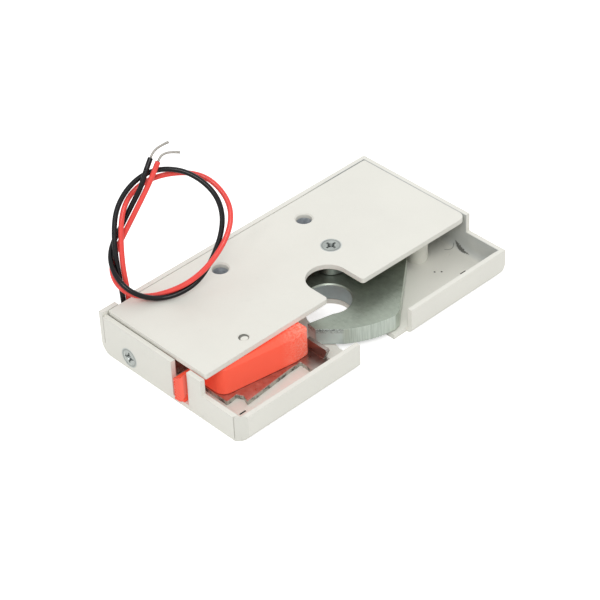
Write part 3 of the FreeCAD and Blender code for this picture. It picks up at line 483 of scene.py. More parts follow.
class Finish:
    """One material under construction: a Principled shader fed by Object coordinates."""

    def __init__(self, name):
        self.material = bpy.data.materials.new(name)
        self.material.use_nodes = True
        self.tree = self.material.node_tree
        self.tree.nodes.clear()
        end = self.tree.nodes.new("ShaderNodeOutputMaterial")
        self.shader = self.tree.nodes.new("ShaderNodeBsdfPrincipled")
        self.tree.links.new(self.shader.outputs["BSDF"], end.inputs["Surface"])
        self.place = self.tree.nodes.new("ShaderNodeTexCoord").outputs["Object"]
        self.skin = None

    def set(self, **values):
        for key, value in values.items():
            self.shader.inputs[key.replace("_", " ")].default_value = value
        return self

    def link(self, output, socket):
        self.tree.links.new(output, self.shader.inputs[socket])
        return self

    def group(self, name, values, strength, distance):
        """Lays a shared group on the shader, and keeps its colour as the skin for further layers."""
        node = self.tree.nodes.new("ShaderNodeGroup")
        node.node_tree = shared(name)
        self.tree.links.new(self.place, node.inputs["Place"])
        for key, value in values.items():
            if isinstance(value, bpy.types.NodeSocket):
                self.tree.links.new(value, node.inputs[key])
            else:
                node.inputs[key].default_value = (*value, 1.0) if isinstance(value, tuple) else value
        self.skin = node.outputs["Color"]
        self.link(self.skin, "Base Color").link(node.outputs["Roughness"], "Roughness")
        self.relief(node.outputs["Height"], strength, distance, sizes().edge_softness)

    def noise(self, scale, detail=3.0, rough=0.5):
        return noise(self.place, scale, detail, rough)

    def away_from(self, centre, axis="Z"):
        return away_from(self.place, centre, axis)

    def axes(self):
        return parts_of(self.place)

    def facing(self, axis):
        """How squarely the surface faces along the named axis, either way."""
        normal = self.tree.nodes.new("ShaderNodeNewGeometry").outputs["True Normal"]
        return math_node("ABSOLUTE", parts_of(normal)[axis])

    def relief(self, height, strength, distance, soft_edge=0.0):
        bump = self.tree.nodes.new("ShaderNodeBump")
        bump.inputs["Strength"].default_value = strength
        bump.inputs["Distance"].default_value = distance
        self.tree.links.new(height, bump.inputs["Height"])
        if soft_edge > 0.0:
            edge = self.tree.nodes.new("ShaderNodeBevel")
            edge.samples = 6
            edge.inputs["Radius"].default_value = soft_edge
            self.tree.links.new(edge.outputs["Normal"], bump.inputs["Normal"])
        return self.link(bump.outputs["Normal"], "Normal")


def colours():
    return bpy.context.scene.lock_colours


def sizes():
    return bpy.context.scene.lock_sizes


def paint_finish(name, grime_and_shade):
    """Powder coat on the Principled shader."""
    finish = Finish(name)
    finish.group("paint_skin", {
        "Paint": tuple(colours().paint), "Grime": grime_and_shade, "Peel": PEEL_SCALE}, 0.28, 0.00006)
    return finish.set(Specular_IOR_Level=0.45)


def plated_finish(name, light, dark, mottle, stretch, marks, rough, relief=0.2, turn=0.0):
    """Zinc plate on the Principled shader; stretch sets how the drawn lines run."""
    finish = Finish(name)
    lines = scaled_place(finish.place, stretch, (0.0, 0.0, turn))
    finish.group("plated_metal", {
        "Light": light, "Dark": dark, "Mottle": mottle, "Lines": lines, "Marks": marks,
        "Low rough": rough[0], "High rough": rough[1]}, relief, 0.00004)
    return finish.set(Metallic=1.0)


def darker(colour, share):
    return tuple(c * share for c in colour)


def wear(names, material):
    """Gives CAD nodes a finish in place of their packed one."""
    for name in names:
        mesh = NODES[name].data
        mesh.materials.clear()
        mesh.materials.append(material)


# One operator for each piece or group of like pieces


class LOCK_OT_camera(bpy.types.Operator):
    """Places the camera where the photograph was taken from"""
    bl_idname = "lock.camera"
    bl_label = "Place camera"

    def execute(self, context):
        data = bpy.data.cameras.new("photo_camera")
        camera = put_in_scene("photo_camera", data)
        data.sensor_width = SENSOR
        data.sensor_fit = "HORIZONTAL"
        data.lens = CAMERA_LENS
        data.clip_start = 0.01
        data.clip_end = 20.0
        back = Vector((math.sin(CAMERA_TURN) * math.cos(CAMERA_RISE),
                       -math.cos(CAMERA_TURN) * math.cos(CAMERA_RISE), math.sin(CAMERA_RISE)))
        side = Vector((0, 0, 1)).cross(back).normalized()
        rise = back.cross(side)
        right = around(side, rise, CAMERA_ROLL)
        upward = around(rise, -side, CAMERA_ROLL)
        turn = Matrix((right, upward, back)).transposed().to_4x4()
        camera.matrix_world = Matrix.Translation(CAMERA_AIM + back * CAMERA_AWAY) @ turn
        context.scene.camera = camera
        return {"FINISHED"}


def spline_curve(name, route, diameter):
    """A round wire along a smooth line that starts and ends at the route's own ends."""
    data = bpy.data.curves.new(name, "CURVE")
    data.dimensions = "3D"
    data.resolution_u = 12
    spline = data.splines.new("NURBS")
    spline.points.add(len(route) - 1)
    for point, place in zip(spline.points, route):
        point.co = (*place, 1.0)
    spline.order_u = 3
    spline.use_endpoint_u = True
    data.bevel_depth = diameter / 2
    data.bevel_resolution = 6
    data.use_fill_caps = diameter > 0
    return put_in_scene(name, data)


def insulation_finish(name, colour, glints, shine):
    """Soft vinyl: nearly smooth, with faint length marks from the extruder."""
    finish = Finish(name)
    grain = finish.noise(900.0, 3.0, 0.6)
    tone = spread(finish.noise(120.0, 3.0), 0.86, 1.0)
    shade = blend_colour(1.0, tuple(colour), tone, "MULTIPLY")
    finish.link(shade, "Base Color")
    finish.link(spread(grain, glints[0], glints[1]), "Roughness")
    finish.set(Specular_IOR_Level=shine)
    finish.relief(grain, 0.12, 0.00005)
    return finish


class LOCK_OT_wires(bpy.types.Operator):
    """Lays the two insulated wires along their centre lines"""
    bl_idname = "lock.wires"
    bl_label = "Lay wires"

    def execute(self, context):
        thick = sizes().wire_diameter
        for name, route, colour, length, shine in (
                ("black_wire", BLACK_ROUTE, colours().black_wire, BLACK_LENGTH, 0.28),
                ("red_wire", RED_ROUTE, colours().red_wire, RED_LENGTH, 0.32)):
            lead = spline_curve(name + "_lead", route, thick)
            vinyl = insulation_finish(name + "_vinyl", colour, (0.14, 0.24), shine)
            lead.data.materials.append(vinyl.material)
            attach(lead, "housing")
            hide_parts(name)
            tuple(route[0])
        return {"FINISHED"}


def mesh_piece(name, shape, material):
    """Closes a shape off as an object, smooth and with its faces turned outwards."""
    bmesh.ops.recalc_face_normals(shape, faces=shape.faces[:])
    for face in shape.faces:
        face.smooth = True
    mesh = bpy.data.meshes.new(name)
    shape.to_mesh(mesh)
    shape.free()
    mesh.materials.append(material)
    return put_in_scene(name, mesh)


def points_along(route):
    """Points of the route's own smooth line, read from a spline with no thickness."""
    guide = spline_curve("guide", route, 0.0)
    bpy.context.view_layer.update()
    line = bpy.data.meshes.new_from_object(guide)
    found = [v.co.copy() for v in line.vertices]
    data = guide.data
    bpy.data.objects.remove(guide)
    bpy.data.curves.remove(data)
    bpy.data.meshes.remove(line)
    return found


def even_points(points, step):
    """Points at equal distances of about one step along a line, and the distance."""
    walked = [0.0]
    for a, b in zip(points, points[1:]):
        walked.append(walked[-1] + (b - a).length)
    count = max(2, round(walked[-1] / step))
    places = []
    k = 0
    for i in range(count + 1):
        goal = walked[-1] * i / count
        while k < len(points) - 2 and walked[k + 1] < goal:
            k += 1
        share = (goal - walked[k]) / max(walked[k + 1] - walked[k], 1e-12)
        places.append(points[k].lerp(points[k + 1], min(share, 1.0)))
    return places, walked[-1] / count


def around(side, other, turn):
    """The direction this far round from side towards other."""
    return side * math.cos(turn) + other * math.sin(turn)


def frames_along(points):
    """Each point with two directions square to the line, turned no more than the line turns."""
    side = (points[1] - points[0]).normalized().orthogonal().normalized()
    last = len(points) - 1
    for i, point in enumerate(points):
        ahead = (points[min(i + 1, last)] - points[max(i - 1, 0)]).normalized()
        side = (side - ahead * side.dot(ahead)).normalized()
        yield point, side, ahead.cross(side)


def twisted_paths(points, step, count, radius, flare):
    """Paths of the strands that wind round the line, opening a little at its end."""
    paths = [[] for _ in range(count)]
    for i, (point, side, other) in enumerate(frames_along(points)):
        share = i / (len(points) - 1)
        out = radius * (1.0 + flare * max(0.0, share - 0.75) * 4.0)
        for j in range(count):
            turn = 2 * math.pi * (j / count + i * step / STRAND_LAY)
            paths[j].append(point + around(side, other, turn) * out)
    return paths


def tube_mesh(work, path, radius, sides):
    """Sweeps a ring of vertices along a path with bmesh extrusions."""
    ring = None
    for point, side, other in frames_along(path):
        places = [point + around(side, other, 2 * math.pi * j / sides) * radius for j in range(sides)]
        if ring is None:
            made = bmesh.ops.create_circle(work, cap_ends=True, segments=sides, radius=radius)
            ring = sorted(made["verts"], key=lambda v: math.atan2(v.co.y, v.co.x) % (2 * math.pi))
            edges = [e for e in {e for v in ring for e in v.link_edges} if len(e.link_faces) == 1]
        else:
            grown = bmesh.ops.extrude_edge_only(work, edges=edges)["geom"]
            verts = [v for v in grown if isinstance(v, bmesh.types.BMVert)]
            edges = [e for e in grown if isinstance(e, bmesh.types.BMEdge)]
            near = {v: min(range(sides), key=lambda j, v=v: (last[j] - v.co).length_squared) for v in verts}
            ring = sorted(verts, key=lambda v: near[v])
        for vert, place in zip(ring, places):
            vert.co = place
        last = places
    bmesh.ops.contextual_create(work, geom=edges)


class LOCK_OT_bare_ends(bpy.types.Operator):
    """Twists the tinned strands that stand out of each wire's insulation"""
    bl_idname = "lock.bare_ends"
    bl_label = "Twist bare ends"

    def execute(self, context):
        tin = plated_finish("tinned_strand_finish", (0.52, 0.50, 0.46), (0.33, 0.31, 0.28), 1800.0,
                            (300, 300, 300), 0.1, (0.24, 0.38), 0.12)
        tin.set(Metallic=0.45)
        count = sizes().strands
        whole = sizes().bare_diameter / 2
        thin = whole * STRAND_SHARE
        for colour, route in (("black", BLACK_STRAND), ("red", RED_STRAND)):
            points, step = even_points(points_along(route), STRAND_STEP)
            work = bmesh.new()
            for path in twisted_paths(points, step, count, whole - thin, 0.25):
                tube_mesh(work, path, thin, 8)
            tube_mesh(work, points, whole * 0.5, 8)
            piece = mesh_piece(colour + "_bare_end", work, tin.material)
            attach(piece, "housing")
            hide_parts(colour + "_conductor")
        return {"FINISHED"}


class LOCK_OT_paint(bpy.types.Operator):
    """Paints the tray and the cover"""
    bl_idname = "lock.paint"
    bl_label = "Paint housing"

    def execute(self, context):
        tray = paint_finish("tray_paint", 0.22)
        self.inside_shade(tray)
        wear(["housing_tray"], tray.material)
        cover = paint_finish("cover_paint", 0.10)
        self.pin_hole_shade(cover)
        wear(["cover_plate"], cover.material)
        return {"FINISHED"}

    def inside_shade(self, finish):
        """Painted shade deep in the right end, at the right wall's foot, on the bevelled corner and in the
        floor's bare cut marks.
        """
        place = finish.axes()
        side = math_node("ABSOLUTE", place["X"])
        end = math_node("ABSOLUTE", place["Y"])
        inside = all_of(ramp(side, INSIDE_X + 0.0004, INSIDE_X + 0.0001),
                        ramp(end, INSIDE_Y + 0.0004, INSIDE_Y + 0.0001))
        above = ramp(place["Z"], 0.0005, 0.0010)
        # painted shade: a cool dark grey deep under the cover and up the inner face of the right wall
        deep = all_of(inside, ramp(place["Y"], *SHADED_Y), ramp(place["X"], *SHADED_X), above)
        wall = all_of(inside, ramp(place["X"], INSIDE_X - 0.0022, INSIDE_X - 0.0004), above, 0.75)
        cloud = spread(finish.noise(140.0, 4.0, 0.6), 0.75, 1.0)
        share = all_of(math_node("MAXIMUM", deep, wall), cloud, 0.85)
        colour = blend_colour(share, finish.skin, INSIDE_SHADE_TONE)
        # the marks cut in the floor are painted near black: bare metal, darkened further as painted shade
        # in their recesses
        marks = all_of(inside, ramp(side, MARKS_X, MARKS_X + 0.0002),
                       ramp(place["Y"], MARKS_Y, MARKS_Y - 0.0002),
                       ramp(place["Z"], FLOOR_TOP - 0.00003, FLOOR_TOP - 0.00008),
                       ramp(place["Z"], 0.00005, 0.0001))
        # painted shade in the crease at the right wall's foot, and a painted shadow line on the floor
        crease_shadows = math_node("MAXIMUM", self.crease_shade(finish, place),
                              self.shadow_line(finish, place))
        dark = math_node("MAXIMUM", marks, all_of(inside, crease_shadows))
        colour = blend_colour(dark, colour, BARE_AND_SHADED_DARK)
        bevel = all_of(ramp(place["X"], BEVEL_X, BEVEL_X - 0.0003),
                       ramp(place["Y"], BEVEL_Y, BEVEL_Y - 0.0003), 0.22)
        finish.link(blend_colour(bevel, colour, BEVEL_SHADE), "Base Color")

    def crease_shade(self, finish, place):
        """Painted shade in a crescent on the curved foot of the right wall, ragged and widest at its
        middle.
        """
        off = apart(finish.away_from(CREASE_SHADE_CENTRE), CREASE_SHADE_R)
        along = apart(place["Y"], CREASE_SHADE_MIDDLE_Y)
        reach = ramp(along, 0.0006, CREASE_SHADE_REACH, CREASE_SHADE_HALF_WIDTH, 0.0)
        ragged = ramp(finish.noise(1600.0, 3.0, 0.6), 0.35, 0.65, -0.00012, 0.00012)
        edge = math_node("SUBTRACT", plus(reach, ragged), off)
        return all_of(ramp(edge, 0.0, 0.00015),
                      ramp(along, CREASE_SHADE_REACH - 0.0001, CREASE_SHADE_REACH - 0.0004),
                      ramp(place["Z"], CREASE_SHADE_TOP, CREASE_SHADE_TOP - 0.0004),
                      ramp(place["X"], CREASE_SHADE_FROM_X, CREASE_SHADE_FROM_X + 0.0001), 0.9)

    def shadow_line(self, finish, place):
        """A fine painted shadow line that curves away from the crescent."""
        off = apart(finish.away_from(SHADOW_LINE_CENTRE), SHADOW_LINE_R)
        return all_of(ramp(off, 0.00020, 0.00008),
                      ramp(place["Y"], SHADOW_LINE_END_Y, SHADOW_LINE_END_Y - 0.0003),
                      ramp(place["Z"], SHADOW_LINE_TOP, SHADOW_LINE_TOP - 0.0004), 0.65)

    def pin_hole_shade(self, finish):
        """Painted shade on the far side of the small hole over the lever's pin."""
        near = ramp(finish.away_from(PIN), PIN_HOLE_R + 0.00007, PIN_HOLE_R)
        wall = ramp(finish.facing("Z"), 0.6, 0.4)
        far = ramp(finish.axes()["Y"], PIN[1] - 0.0006, PIN[1] + 0.0004)
        # painted shade on the far wall of the hole
        grime_and_shade = all_of(near, wall, far)
        finish.link(blend_colour(grime_and_shade, finish.skin, HOLE_SHADE), "Base Color")


class LOCK_OT_hook(bpy.types.Operator):
    """Plates the hook and the pawl, grey green with a drawn grain"""
    bl_idname = "lock.hook"
    bl_label = "Plate hook"

    def execute(self, context):
        light = tuple(colours().hook_metal)
        finish = plated_finish("hook_plating", light, darker(light, 0.62), 620.0, (1500, 240, 240),
                               0.30, (0.34, 0.50), 0.22, math.radians(24))
        finish.set(Metallic=0.78)
        self.cut_edges_and_sheen(finish)
        wear(["hook", "pawl"], finish.material)
        return {"FINISHED"}

    def cut_edges_and_sheen(self, finish):
        """Paler upright faces, partly as painted light, with machining lines; bluish in the pocket with a
        painted highlight at its rim, and a painted bluish sheen on the scratched nose.
        """
        place = finish.axes()
        # upright faces: their own cut-edge tone, painted paler still to stand in for the light they catch
        upright = ramp(finish.facing("Z"), 0.75, 0.35)
        cuts = noise(scaled_place(finish.place, (2600, 2600, 90)), 1.0, 4.0, 0.6)
        edge = blend_colour(spread(cuts), CUT_DARK, CUT_LIGHT)
        # a painted bluish sheen on the flat of the nose
        left = ramp(place["X"], TIP_X + 0.0006, TIP_X - 0.0002)
        edge = blend_colour(left, edge, NOSE_SHEEN)
        band = ramp(place["Z"], *SCRATCHED_Z)
        scores = noise(scaled_place(finish.place, (1500, 1500, 3200)), 1.0, 5.0, 0.8)
        scratch = ramp(scores, 0.50, 0.57)
        edge = blend_colour(all_of(band, scratch, left), edge, NOSE_SCRATCH)
        out = finish.away_from(POCKET)
        pocket = ramp(out, POCKET_R + 0.0004, POCKET_R + 0.0002)
        # a pale band painted along the top of the pocket wall as a highlight
        rim = ramp(place["Z"], HOOK_TOP - 0.0006, HOOK_TOP - 0.0003)
        wall = blend_colour(rim, POCKET_WALL, POCKET_RIM)
        edge = blend_colour(pocket, edge, wall)
        finish.link(blend_colour(upright, finish.skin, edge), "Base Color")


class LOCK_OT_fasteners(bpy.types.Operator):
    """Finishes screws, posts, pins, spacers and washers"""
    bl_idname = "lock.fasteners"
    bl_label = "Finish fasteners"

    def execute(self, context):
        zinc = tuple(colours().zinc)
        wear(["cover_screw"], self.screw_finish("cover_screw_zinc", "Z", COVER_SCREW, (0.40, 0.43, 0.41)))
        wear(["end_wall_screw"], self.screw_finish("end_screw_zinc", "X", END_SCREW, (0.78, 0.83, 0.80)))
        pin = plated_finish("turned_zinc", zinc, darker(zinc, 0.6), 800.0, (60, 60, 2600),
                            0.25, (0.26, 0.44), 0.2)
        wear(["hook_pivot_post", "hook_bush", "hook_washer", "hook_spring_pin", "pawl_pivot_pin",
              "lever_link_pin", "spring_anchor_post", "plunger_link_pin", "plunger",
              "plunger_link", "solenoid_core"], pin.material)
        tube = self.matt_zinc("spacer_zinc", 700.0, (0.36, 0.39, 0.43), (0.62, 0.66, 0.70))
        wear(["mounting_spacer_left", "mounting_spacer_right"], tube.material)
        wear(["lever_pivot_pin"], self.pin_end())
        wear(["stop_post"], self.half_painted_post(zinc))
        return {"FINISHED"}

    def matt_zinc(self, name, scale, dark, light):
        """Matt zinc in two tones, with its mixed tone kept as the skin."""
        finish = Finish(name)
        cloud = finish.noise(scale, 4.0, 0.6)
        finish.skin = blend_colour(spread(cloud), dark, light)
        finish.link(finish.skin, "Base Color").link(spread(cloud, 0.4, 0.6), "Roughness")
        finish.set(Metallic=0.15).relief(cloud, 0.2, 0.00005)
        return finish

    def pin_end(self):
        """Pale end of the lever's pin, with painted shade in a crescent along one side."""
        finish = self.matt_zinc("pin_end_zinc", 900.0, (0.74, 0.74, 0.67), (0.82, 0.81, 0.75))
        out = finish.away_from(PIN_SHADE)
        # painted shade in a crescent on the pin's end
        grime_and_shade = ramp(out, PIN_SHADE_R, PIN_SHADE_R + 0.0003)
        finish.link(blend_colour(grime_and_shade, finish.skin, (0.16, 0.16, 0.14)), "Base Color")
        return finish.material

    def screw_finish(self, name, axis, centre, light):
        """Zinc head with a pale rim painted as a highlight, a darker ring inside it, and a cross recess
        painted dark as shade, with paler walls painted as lit.
        """
        finish = plated_finish(name, light, darker(light, 0.6), 1300.0, (500, 500, 500),
                               0.35, (0.28, 0.44), 0.25)
        out = finish.away_from(centre, axis)
        # a pale rim painted on the head as a highlight
        rim = times(ramp(out, SCREW_HEAD_R - 0.0004, SCREW_HEAD_R - 0.0002), 0.5)
        ring = all_of(ramp(out, SCREW_HEAD_R - 0.0010, SCREW_HEAD_R - 0.0007),
                      ramp(out, SCREW_HEAD_R - 0.0003, SCREW_HEAD_R - 0.0004), 0.6)
        colour = blend_colour(ring, finish.skin, darker(light, 0.35))
        colour = blend_colour(rim, colour, (0.70, 0.73, 0.71))
        level = math_node("ABSOLUTE", finish.axes()[axis])
        top = SCREW_TOPS[axis]
        # painted shade on the floor of the cross recess, with its walls painted paler as lit
        recess = all_of(ramp(out, RECESS_R + 0.0002, RECESS_R),
                        ramp(level, top - 0.0002, top - 0.0003))
        steep = ramp(finish.facing(axis), 0.8, 0.5)
        tone = blend_colour(steep, (0.07, 0.08, 0.08), (0.36, 0.39, 0.38))
        finish.link(blend_colour(recess, colour, tone), "Base Color")
        finish.link(math_node("SUBTRACT", 0.85, times(recess, 0.6)), "Metallic")
        return finish.material

    def half_painted_post(self, zinc):
        """Stop post: bare zinc towards the hook, painted beyond it, with chips near its top."""
        finish = plated_finish("stop_post_finish", zinc, darker(zinc, 0.55), 700.0, (60, 60, 2600),
                               0.5, (0.26, 0.44), 0.3)
        place = finish.axes()
        ragged = times(finish.noise(900.0, 3.0), 0.0012)
        across = plus(place["X"], ragged)
        coat = ramp(across, STOP_PAINT_X + 0.0004, STOP_PAINT_X + 0.0008)
        high = ramp(place["Z"], *CHIPPED_Z)
        chips = ramp(finish.noise(1100.0, 4.0, 0.7), 0.5, 0.56)
        bare = all_of(high, chips)
        cover = all_of(coat, math_node("SUBTRACT", 1.0, bare))
        finish.link(blend_colour(cover, finish.skin, tuple(colours().paint)), "Base Color")
        finish.link(math_node("SUBTRACT", 1.0, cover), "Metallic")
        return finish.material


class LOCK_OT_lever(bpy.types.Operator):
    """Moulds the orange release lever, rubbed pale at its right end"""
    bl_idname = "lock.lever"
    bl_label = "Finish lever"

    def execute(self, context):
        finish = Finish("lever_moulding")
        body = tuple(colours().moulding)
        clouds = spread(finish.noise(70.0, 4.0, 0.6), 0.93, 1.0)
        base = blend_colour(1.0, body, clouds, "MULTIPLY")
        base = self.tab_shade(finish, base, darker(body, 0.6))
        rubbed = ramp(finish.axes()["X"], *RUBBED_X)
        streaks = scaled_place(finish.place, (1300, 1300, 2600), (0.0, 0.5, 0.3))
        fibres = ramp(noise(streaks, 1.0, 5.0, 0.7), 0.42, 0.66)
        pale = all_of(rubbed, fibres, 0.85)
        colour = blend_colour(pale, base, FIBRE_PALE)
        finish.link(colour, "Base Color").link(colour, "Emission Color")
        grain = finish.noise(2400.0, 2.0, 0.5)
        rough = plus(spread(grain, 0.36, 0.46), times(rubbed, 0.2))
        finish.link(rough, "Roughness")
        # the moulding glows a little by itself: painted light that makes the orange look brighter than the
        # light on it, standing in for a fluorescent pigment
        finish.set(Specular_IOR_Level=0.4, Emission_Strength=0.2)
        finish.relief(plus(grain, times(pale, 2.0)), 0.2, 0.00006, 0.4 * MM)
        wear(["release_lever"], finish.material)
        return {"FINISHED"}

    def tab_shade(self, finish, base, dark):
        """Painted shade in the grooves between the tab's ribs, and painted shade where its face turns in at
        the front.
        """
        place = finish.axes()
        outside = ramp(place["X"], TAB_FACE_X, TAB_FACE_X - 0.0002)
        waves = math_node("SINE", times(place["Z"], 2 * math.pi / RIB_PITCH))
        grooves = all_of(ramp(waves, 0.0, 0.6), outside,
                         ramp(place["Y"], TAB_RIB_Y, TAB_RIB_Y + 0.0012), 0.8)
        base = blend_colour(grooves, base, dark)
        turned_in = all_of(ramp(place["Y"], TAB_RIB_Y, TAB_RIB_Y - 0.0018), outside)
        return blend_colour(turned_in, base, dark)


class LOCK_OT_bracket(bpy.types.Operator):
    """Finishes the pressed steel: lever bracket and solenoid frame"""
    bl_idname = "lock.bracket"
    bl_label = "Finish pressings"

    def execute(self, context):
        light = (0.62, 0.59, 0.55)
        finish = plated_finish("pressed_zinc", light, darker(light, 0.66), 520.0, (900, 180, 180),
                               0.18, (0.26, 0.42), 0.2)
        place = finish.axes()
        # a painted reflection: the right end of the pressings turns dark brown
        dark_reflection = all_of(ramp(place["X"], *DARK_REFLECTION_X), 0.8)
        colour = blend_colour(dark_reflection, finish.skin, (0.27, 0.23, 0.21))
        burrs = ramp(finish.noise(420.0, 4.0, 0.65), 0.38, 0.50)
        sheared = blend_colour(burrs, (0.13, 0.13, 0.12), (0.50, 0.50, 0.46))
        low = ramp(place["Z"], LEVER_SHEET_TOP + 0.0002, LEVER_SHEET_TOP)
        edge = all_of(ramp(finish.facing("Z"), 0.6, 0.3), low)
        colour = blend_colour(edge, colour, sheared)
        finish.link(colour, "Base Color")
        wear(["lever_bracket", "solenoid_frame"], finish.material)
        return {"FINISHED"}


class LOCK_OT_solenoid(bpy.types.Operator):
    """Finishes the coil and its bobbin"""
    bl_idname = "lock.solenoid"
    bl_label = "Finish solenoid"

    def execute(self, context):
        winding = Finish("copper_winding")
        tree = winding.tree
        turns = tree.nodes.new("ShaderNodeTexWave")
        turns.wave_type = "BANDS"
        turns.bands_direction = "X"
        turns.inputs["Scale"].default_value = 700.0
        turns.inputs["Distortion"].default_value = 0.15
        tree.links.new(winding.place, turns.inputs["Vector"])
        shade = blend_colour(turns.outputs["Fac"], (0.20, 0.07, 0.03), (0.62, 0.26, 0.11))
        winding.link(shade, "Base Color").set(Metallic=0.85, Roughness=0.32)
        winding.relief(turns.outputs["Fac"], 0.6, 0.0002)
        wear(["solenoid_coil"], winding.material)
        nylon = Finish("bobbin_nylon")
        grain = nylon.noise(1500.0, 2.0)
        nylon.link(blend_colour(grain, (0.70, 0.69, 0.62), (0.80, 0.79, 0.73)), "Base Color")
        nylon.link(spread(grain, 0.4, 0.55), "Roughness")
        nylon.relief(grain, 0.15, 0.00005)
        wear(["solenoid_bobbin"], nylon.material)
        return {"FINISHED"}


class LOCK_OT_springs(bpy.types.Operator):
    """Winds the two springs so that they follow the parts that they pull and push"""
    # Makes the two springs: a copy of the hook's coil, and a wound return spring
    bl_idname = "lock.springs"
    bl_label = "Wind springs"

    def execute(self, context):
        spring = plated_finish("spring_wire", (0.62, 0.63, 0.61), (0.36, 0.37, 0.37), 1500.0,
                               (700, 700, 700), 0.15, (0.2, 0.34), 0.1)
        self.hook_spring(spring.material)
        self.return_spring(spring.material)
        return {"FINISHED"}

    def hook_spring(self, material):
        """A copy of the packed coil with its doubled points merged, fixed where it stands."""
        shape = bmesh.new()
        shape.from_mesh(NODES["hook_spring"].data)
        bmesh.ops.remove_doubles(shape, verts=shape.verts[:], dist=0.000001)
        piece = mesh_piece("hook_spring_coil", shape, material)
        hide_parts("hook_spring")
        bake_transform(piece)

    def return_spring(self, material):
        """A coil wound over the packed spring's box, riding on the housing."""
        low, high = (Vector(corner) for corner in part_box("return_spring"))
        middle = (low + high) / 2
        length = high.x - low.x
        radius = (high.y - low.y) / 2 - RETURN_WIRE_R
        start = Vector((low.x + RETURN_WIRE_R, middle.y, middle.z))
        steps = RETURN_TURNS * 24
        rise = (length - 2 * RETURN_WIRE_R) / steps
        shape = bmesh.new()
        section = Matrix.Translation(start + Vector((0, radius, 0)))
        bmesh.ops.create_circle(shape, cap_ends=False, segments=10, radius=RETURN_WIRE_R, matrix=section)
        bmesh.ops.spin(shape, geom=shape.edges[:], cent=start, axis=(1, 0, 0),
                       dvec=(rise, 0, 0), angle=2 * math.pi * RETURN_TURNS, steps=steps)
        ends = [edge for edge in shape.edges if edge.is_boundary]
        bmesh.ops.holes_fill(shape, edges=ends, sides=10)
        piece = mesh_piece("return_spring_coil", shape, material)
        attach(piece, "housing")
        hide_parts("return_spring")
        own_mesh(piece)


def soft_box(name, place, size, power, width=None):
    """An area lamp that points at the middle of the lock."""
    data = bpy.data.lights.new(name, "AREA")
    data.shape = "RECTANGLE"
    data.size = width or size
    data.size_y = size
    data.energy = power
    lamp = put_in_scene(name, data)
    lamp.location = place
    lamp.rotation_euler = (-Vector(place)).to_track_quat("-Z", "Y").to_euler()


def seen_directly(tree):
    """1 for what the camera, a mirror surface or clear stuff sees, and 0 for what lights the object."""
    path = tree.nodes.new("ShaderNodeLightPath")
    some = math_node("MAXIMUM", path.outputs["Is Camera Ray"], path.outputs["Is Glossy Ray"])
    return math_node("MAXIMUM", some, path.outputs["Is Transmission Ray"])


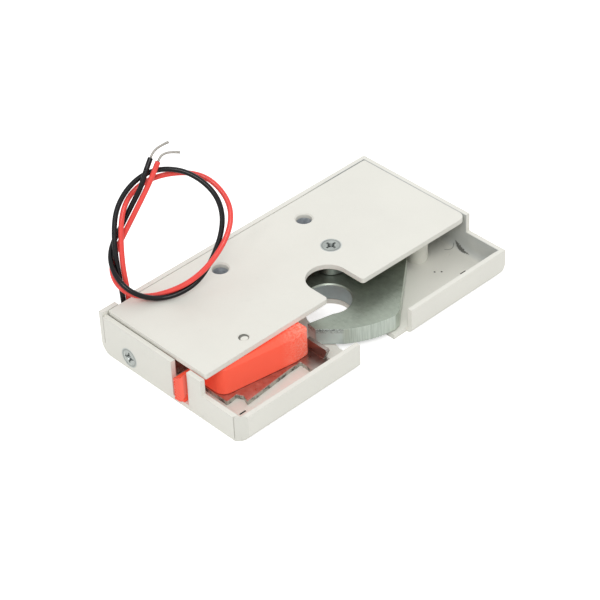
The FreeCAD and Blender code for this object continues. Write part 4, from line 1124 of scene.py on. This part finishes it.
class LOCK_OT_stage(bpy.types.Operator):
    """Sets the pale floor, the even sky and three lamps"""
    bl_idname = "lock.stage"
    bl_label = "Set stage"

    def execute(self, context):
        scene = context.scene
        settings = scene.lock_stage
        scene.view_settings.view_transform = "Standard"
        self.sky(scene, settings.sky)
        soft_box("key_box", (-0.42, -0.50, 0.82), 0.28, settings.key)
        soft_box("glint_strip", (-0.80, -0.32, 0.72), 0.7, settings.strip, 0.03)
        soft_box("fill_box", (0.75, 0.35, 0.65), 0.7, settings.fill)
        self.floor(settings.floor)
        return {"FINISHED"}

    def sky(self, scene, strength):
        world = bpy.data.worlds.new("even_sky")
        scene.world = world
        world.use_nodes = True
        tree = world.node_tree
        tree.nodes.clear()
        end = tree.nodes.new("ShaderNodeOutputWorld")
        mix = tree.nodes.new("ShaderNodeMixShader")
        tree.links.new(seen_directly(tree), mix.inputs[0])
        # the first sky lights the lock, and the second is what the camera and mirror surfaces see
        for socket, power in ((mix.inputs[1], strength), (mix.inputs[2], 1.0)):
            white = tree.nodes.new("ShaderNodeBackground")
            white.inputs["Color"].default_value = (1.0, 1.0, 1.0, 1.0)
            white.inputs["Strength"].default_value = power
            tree.links.new(white.outputs[0], socket)
        tree.links.new(mix.outputs[0], end.inputs["Surface"])

    def floor(self, colour):
        work = bmesh.new()
        bmesh.ops.create_grid(work, x_segments=1, y_segments=1, size=6.0)
        mesh = bpy.data.meshes.new("floor")
        work.to_mesh(mesh)
        work.free()
        floor = put_in_scene("floor", mesh)
        mesh.transform(Matrix.Translation((0, 0, CAD_BOX[0][2] - FLOOR_GAP)))
        finish = Finish("pale_floor")
        grain = finish.noise(60.0, 4.0)
        tone = blend_colour(spread(grain), darker(tuple(colour), 0.99), tuple(colour))
        finish.link(tone, "Base Color").set(Roughness=0.9, Specular_IOR_Level=0.1)
        path = finish.tree.nodes.new("ShaderNodeLightPath")
        finish.link(times(path.outputs["Is Camera Ray"], 0.55), "Emission Strength")
        finish.set(Emission_Color=(1.0, 1.0, 1.0, 1.0))
        mesh.materials.append(finish.material)


class LOCK_PT_panel(bpy.types.Panel):
    """Lists the lock's sizes, colours and making steps"""
    bl_idname = "LOCK_PT_panel"
    bl_label = "Hook lock"
    bl_space_type = "VIEW_3D"
    bl_region_type = "UI"
    bl_category = "Lock"

    def draw(self, context):
        layout = self.layout
        for group in (context.scene.lock_sizes, context.scene.lock_colours, context.scene.lock_stage):
            box = layout.box()
            for name in group.__annotations__:
                box.prop(group, name)
        for step in STEPS:
            layout.operator(step.bl_idname)


STEPS = (LOCK_OT_camera, LOCK_OT_bare_ends, LOCK_OT_wires, LOCK_OT_paint, LOCK_OT_hook,
         LOCK_OT_fasteners, LOCK_OT_lever, LOCK_OT_bracket, LOCK_OT_solenoid, LOCK_OT_springs,
         LOCK_OT_stage)
GROUPS = (LockSizes, LockColours, StageSettings)


def register():
    for made in GROUPS + STEPS + (LOCK_PT_panel,):
        bpy.utils.register_class(made)
    bpy.types.Scene.lock_sizes = bpy.props.PointerProperty(type=LockSizes)
    bpy.types.Scene.lock_colours = bpy.props.PointerProperty(type=LockColours)
    bpy.types.Scene.lock_stage = bpy.props.PointerProperty(type=StageSettings)


def unregister():
    del bpy.types.Scene.lock_stage
    del bpy.types.Scene.lock_colours
    del bpy.types.Scene.lock_sizes
    for made in reversed(GROUPS + STEPS + (LOCK_PT_panel,)):
        bpy.utils.unregister_class(made)


def main():
    register()
    for step in STEPS:
        folder, name = step.bl_idname.split(".")
        getattr(getattr(bpy.ops, folder), name)()


if __name__ == "__main__":
    main()
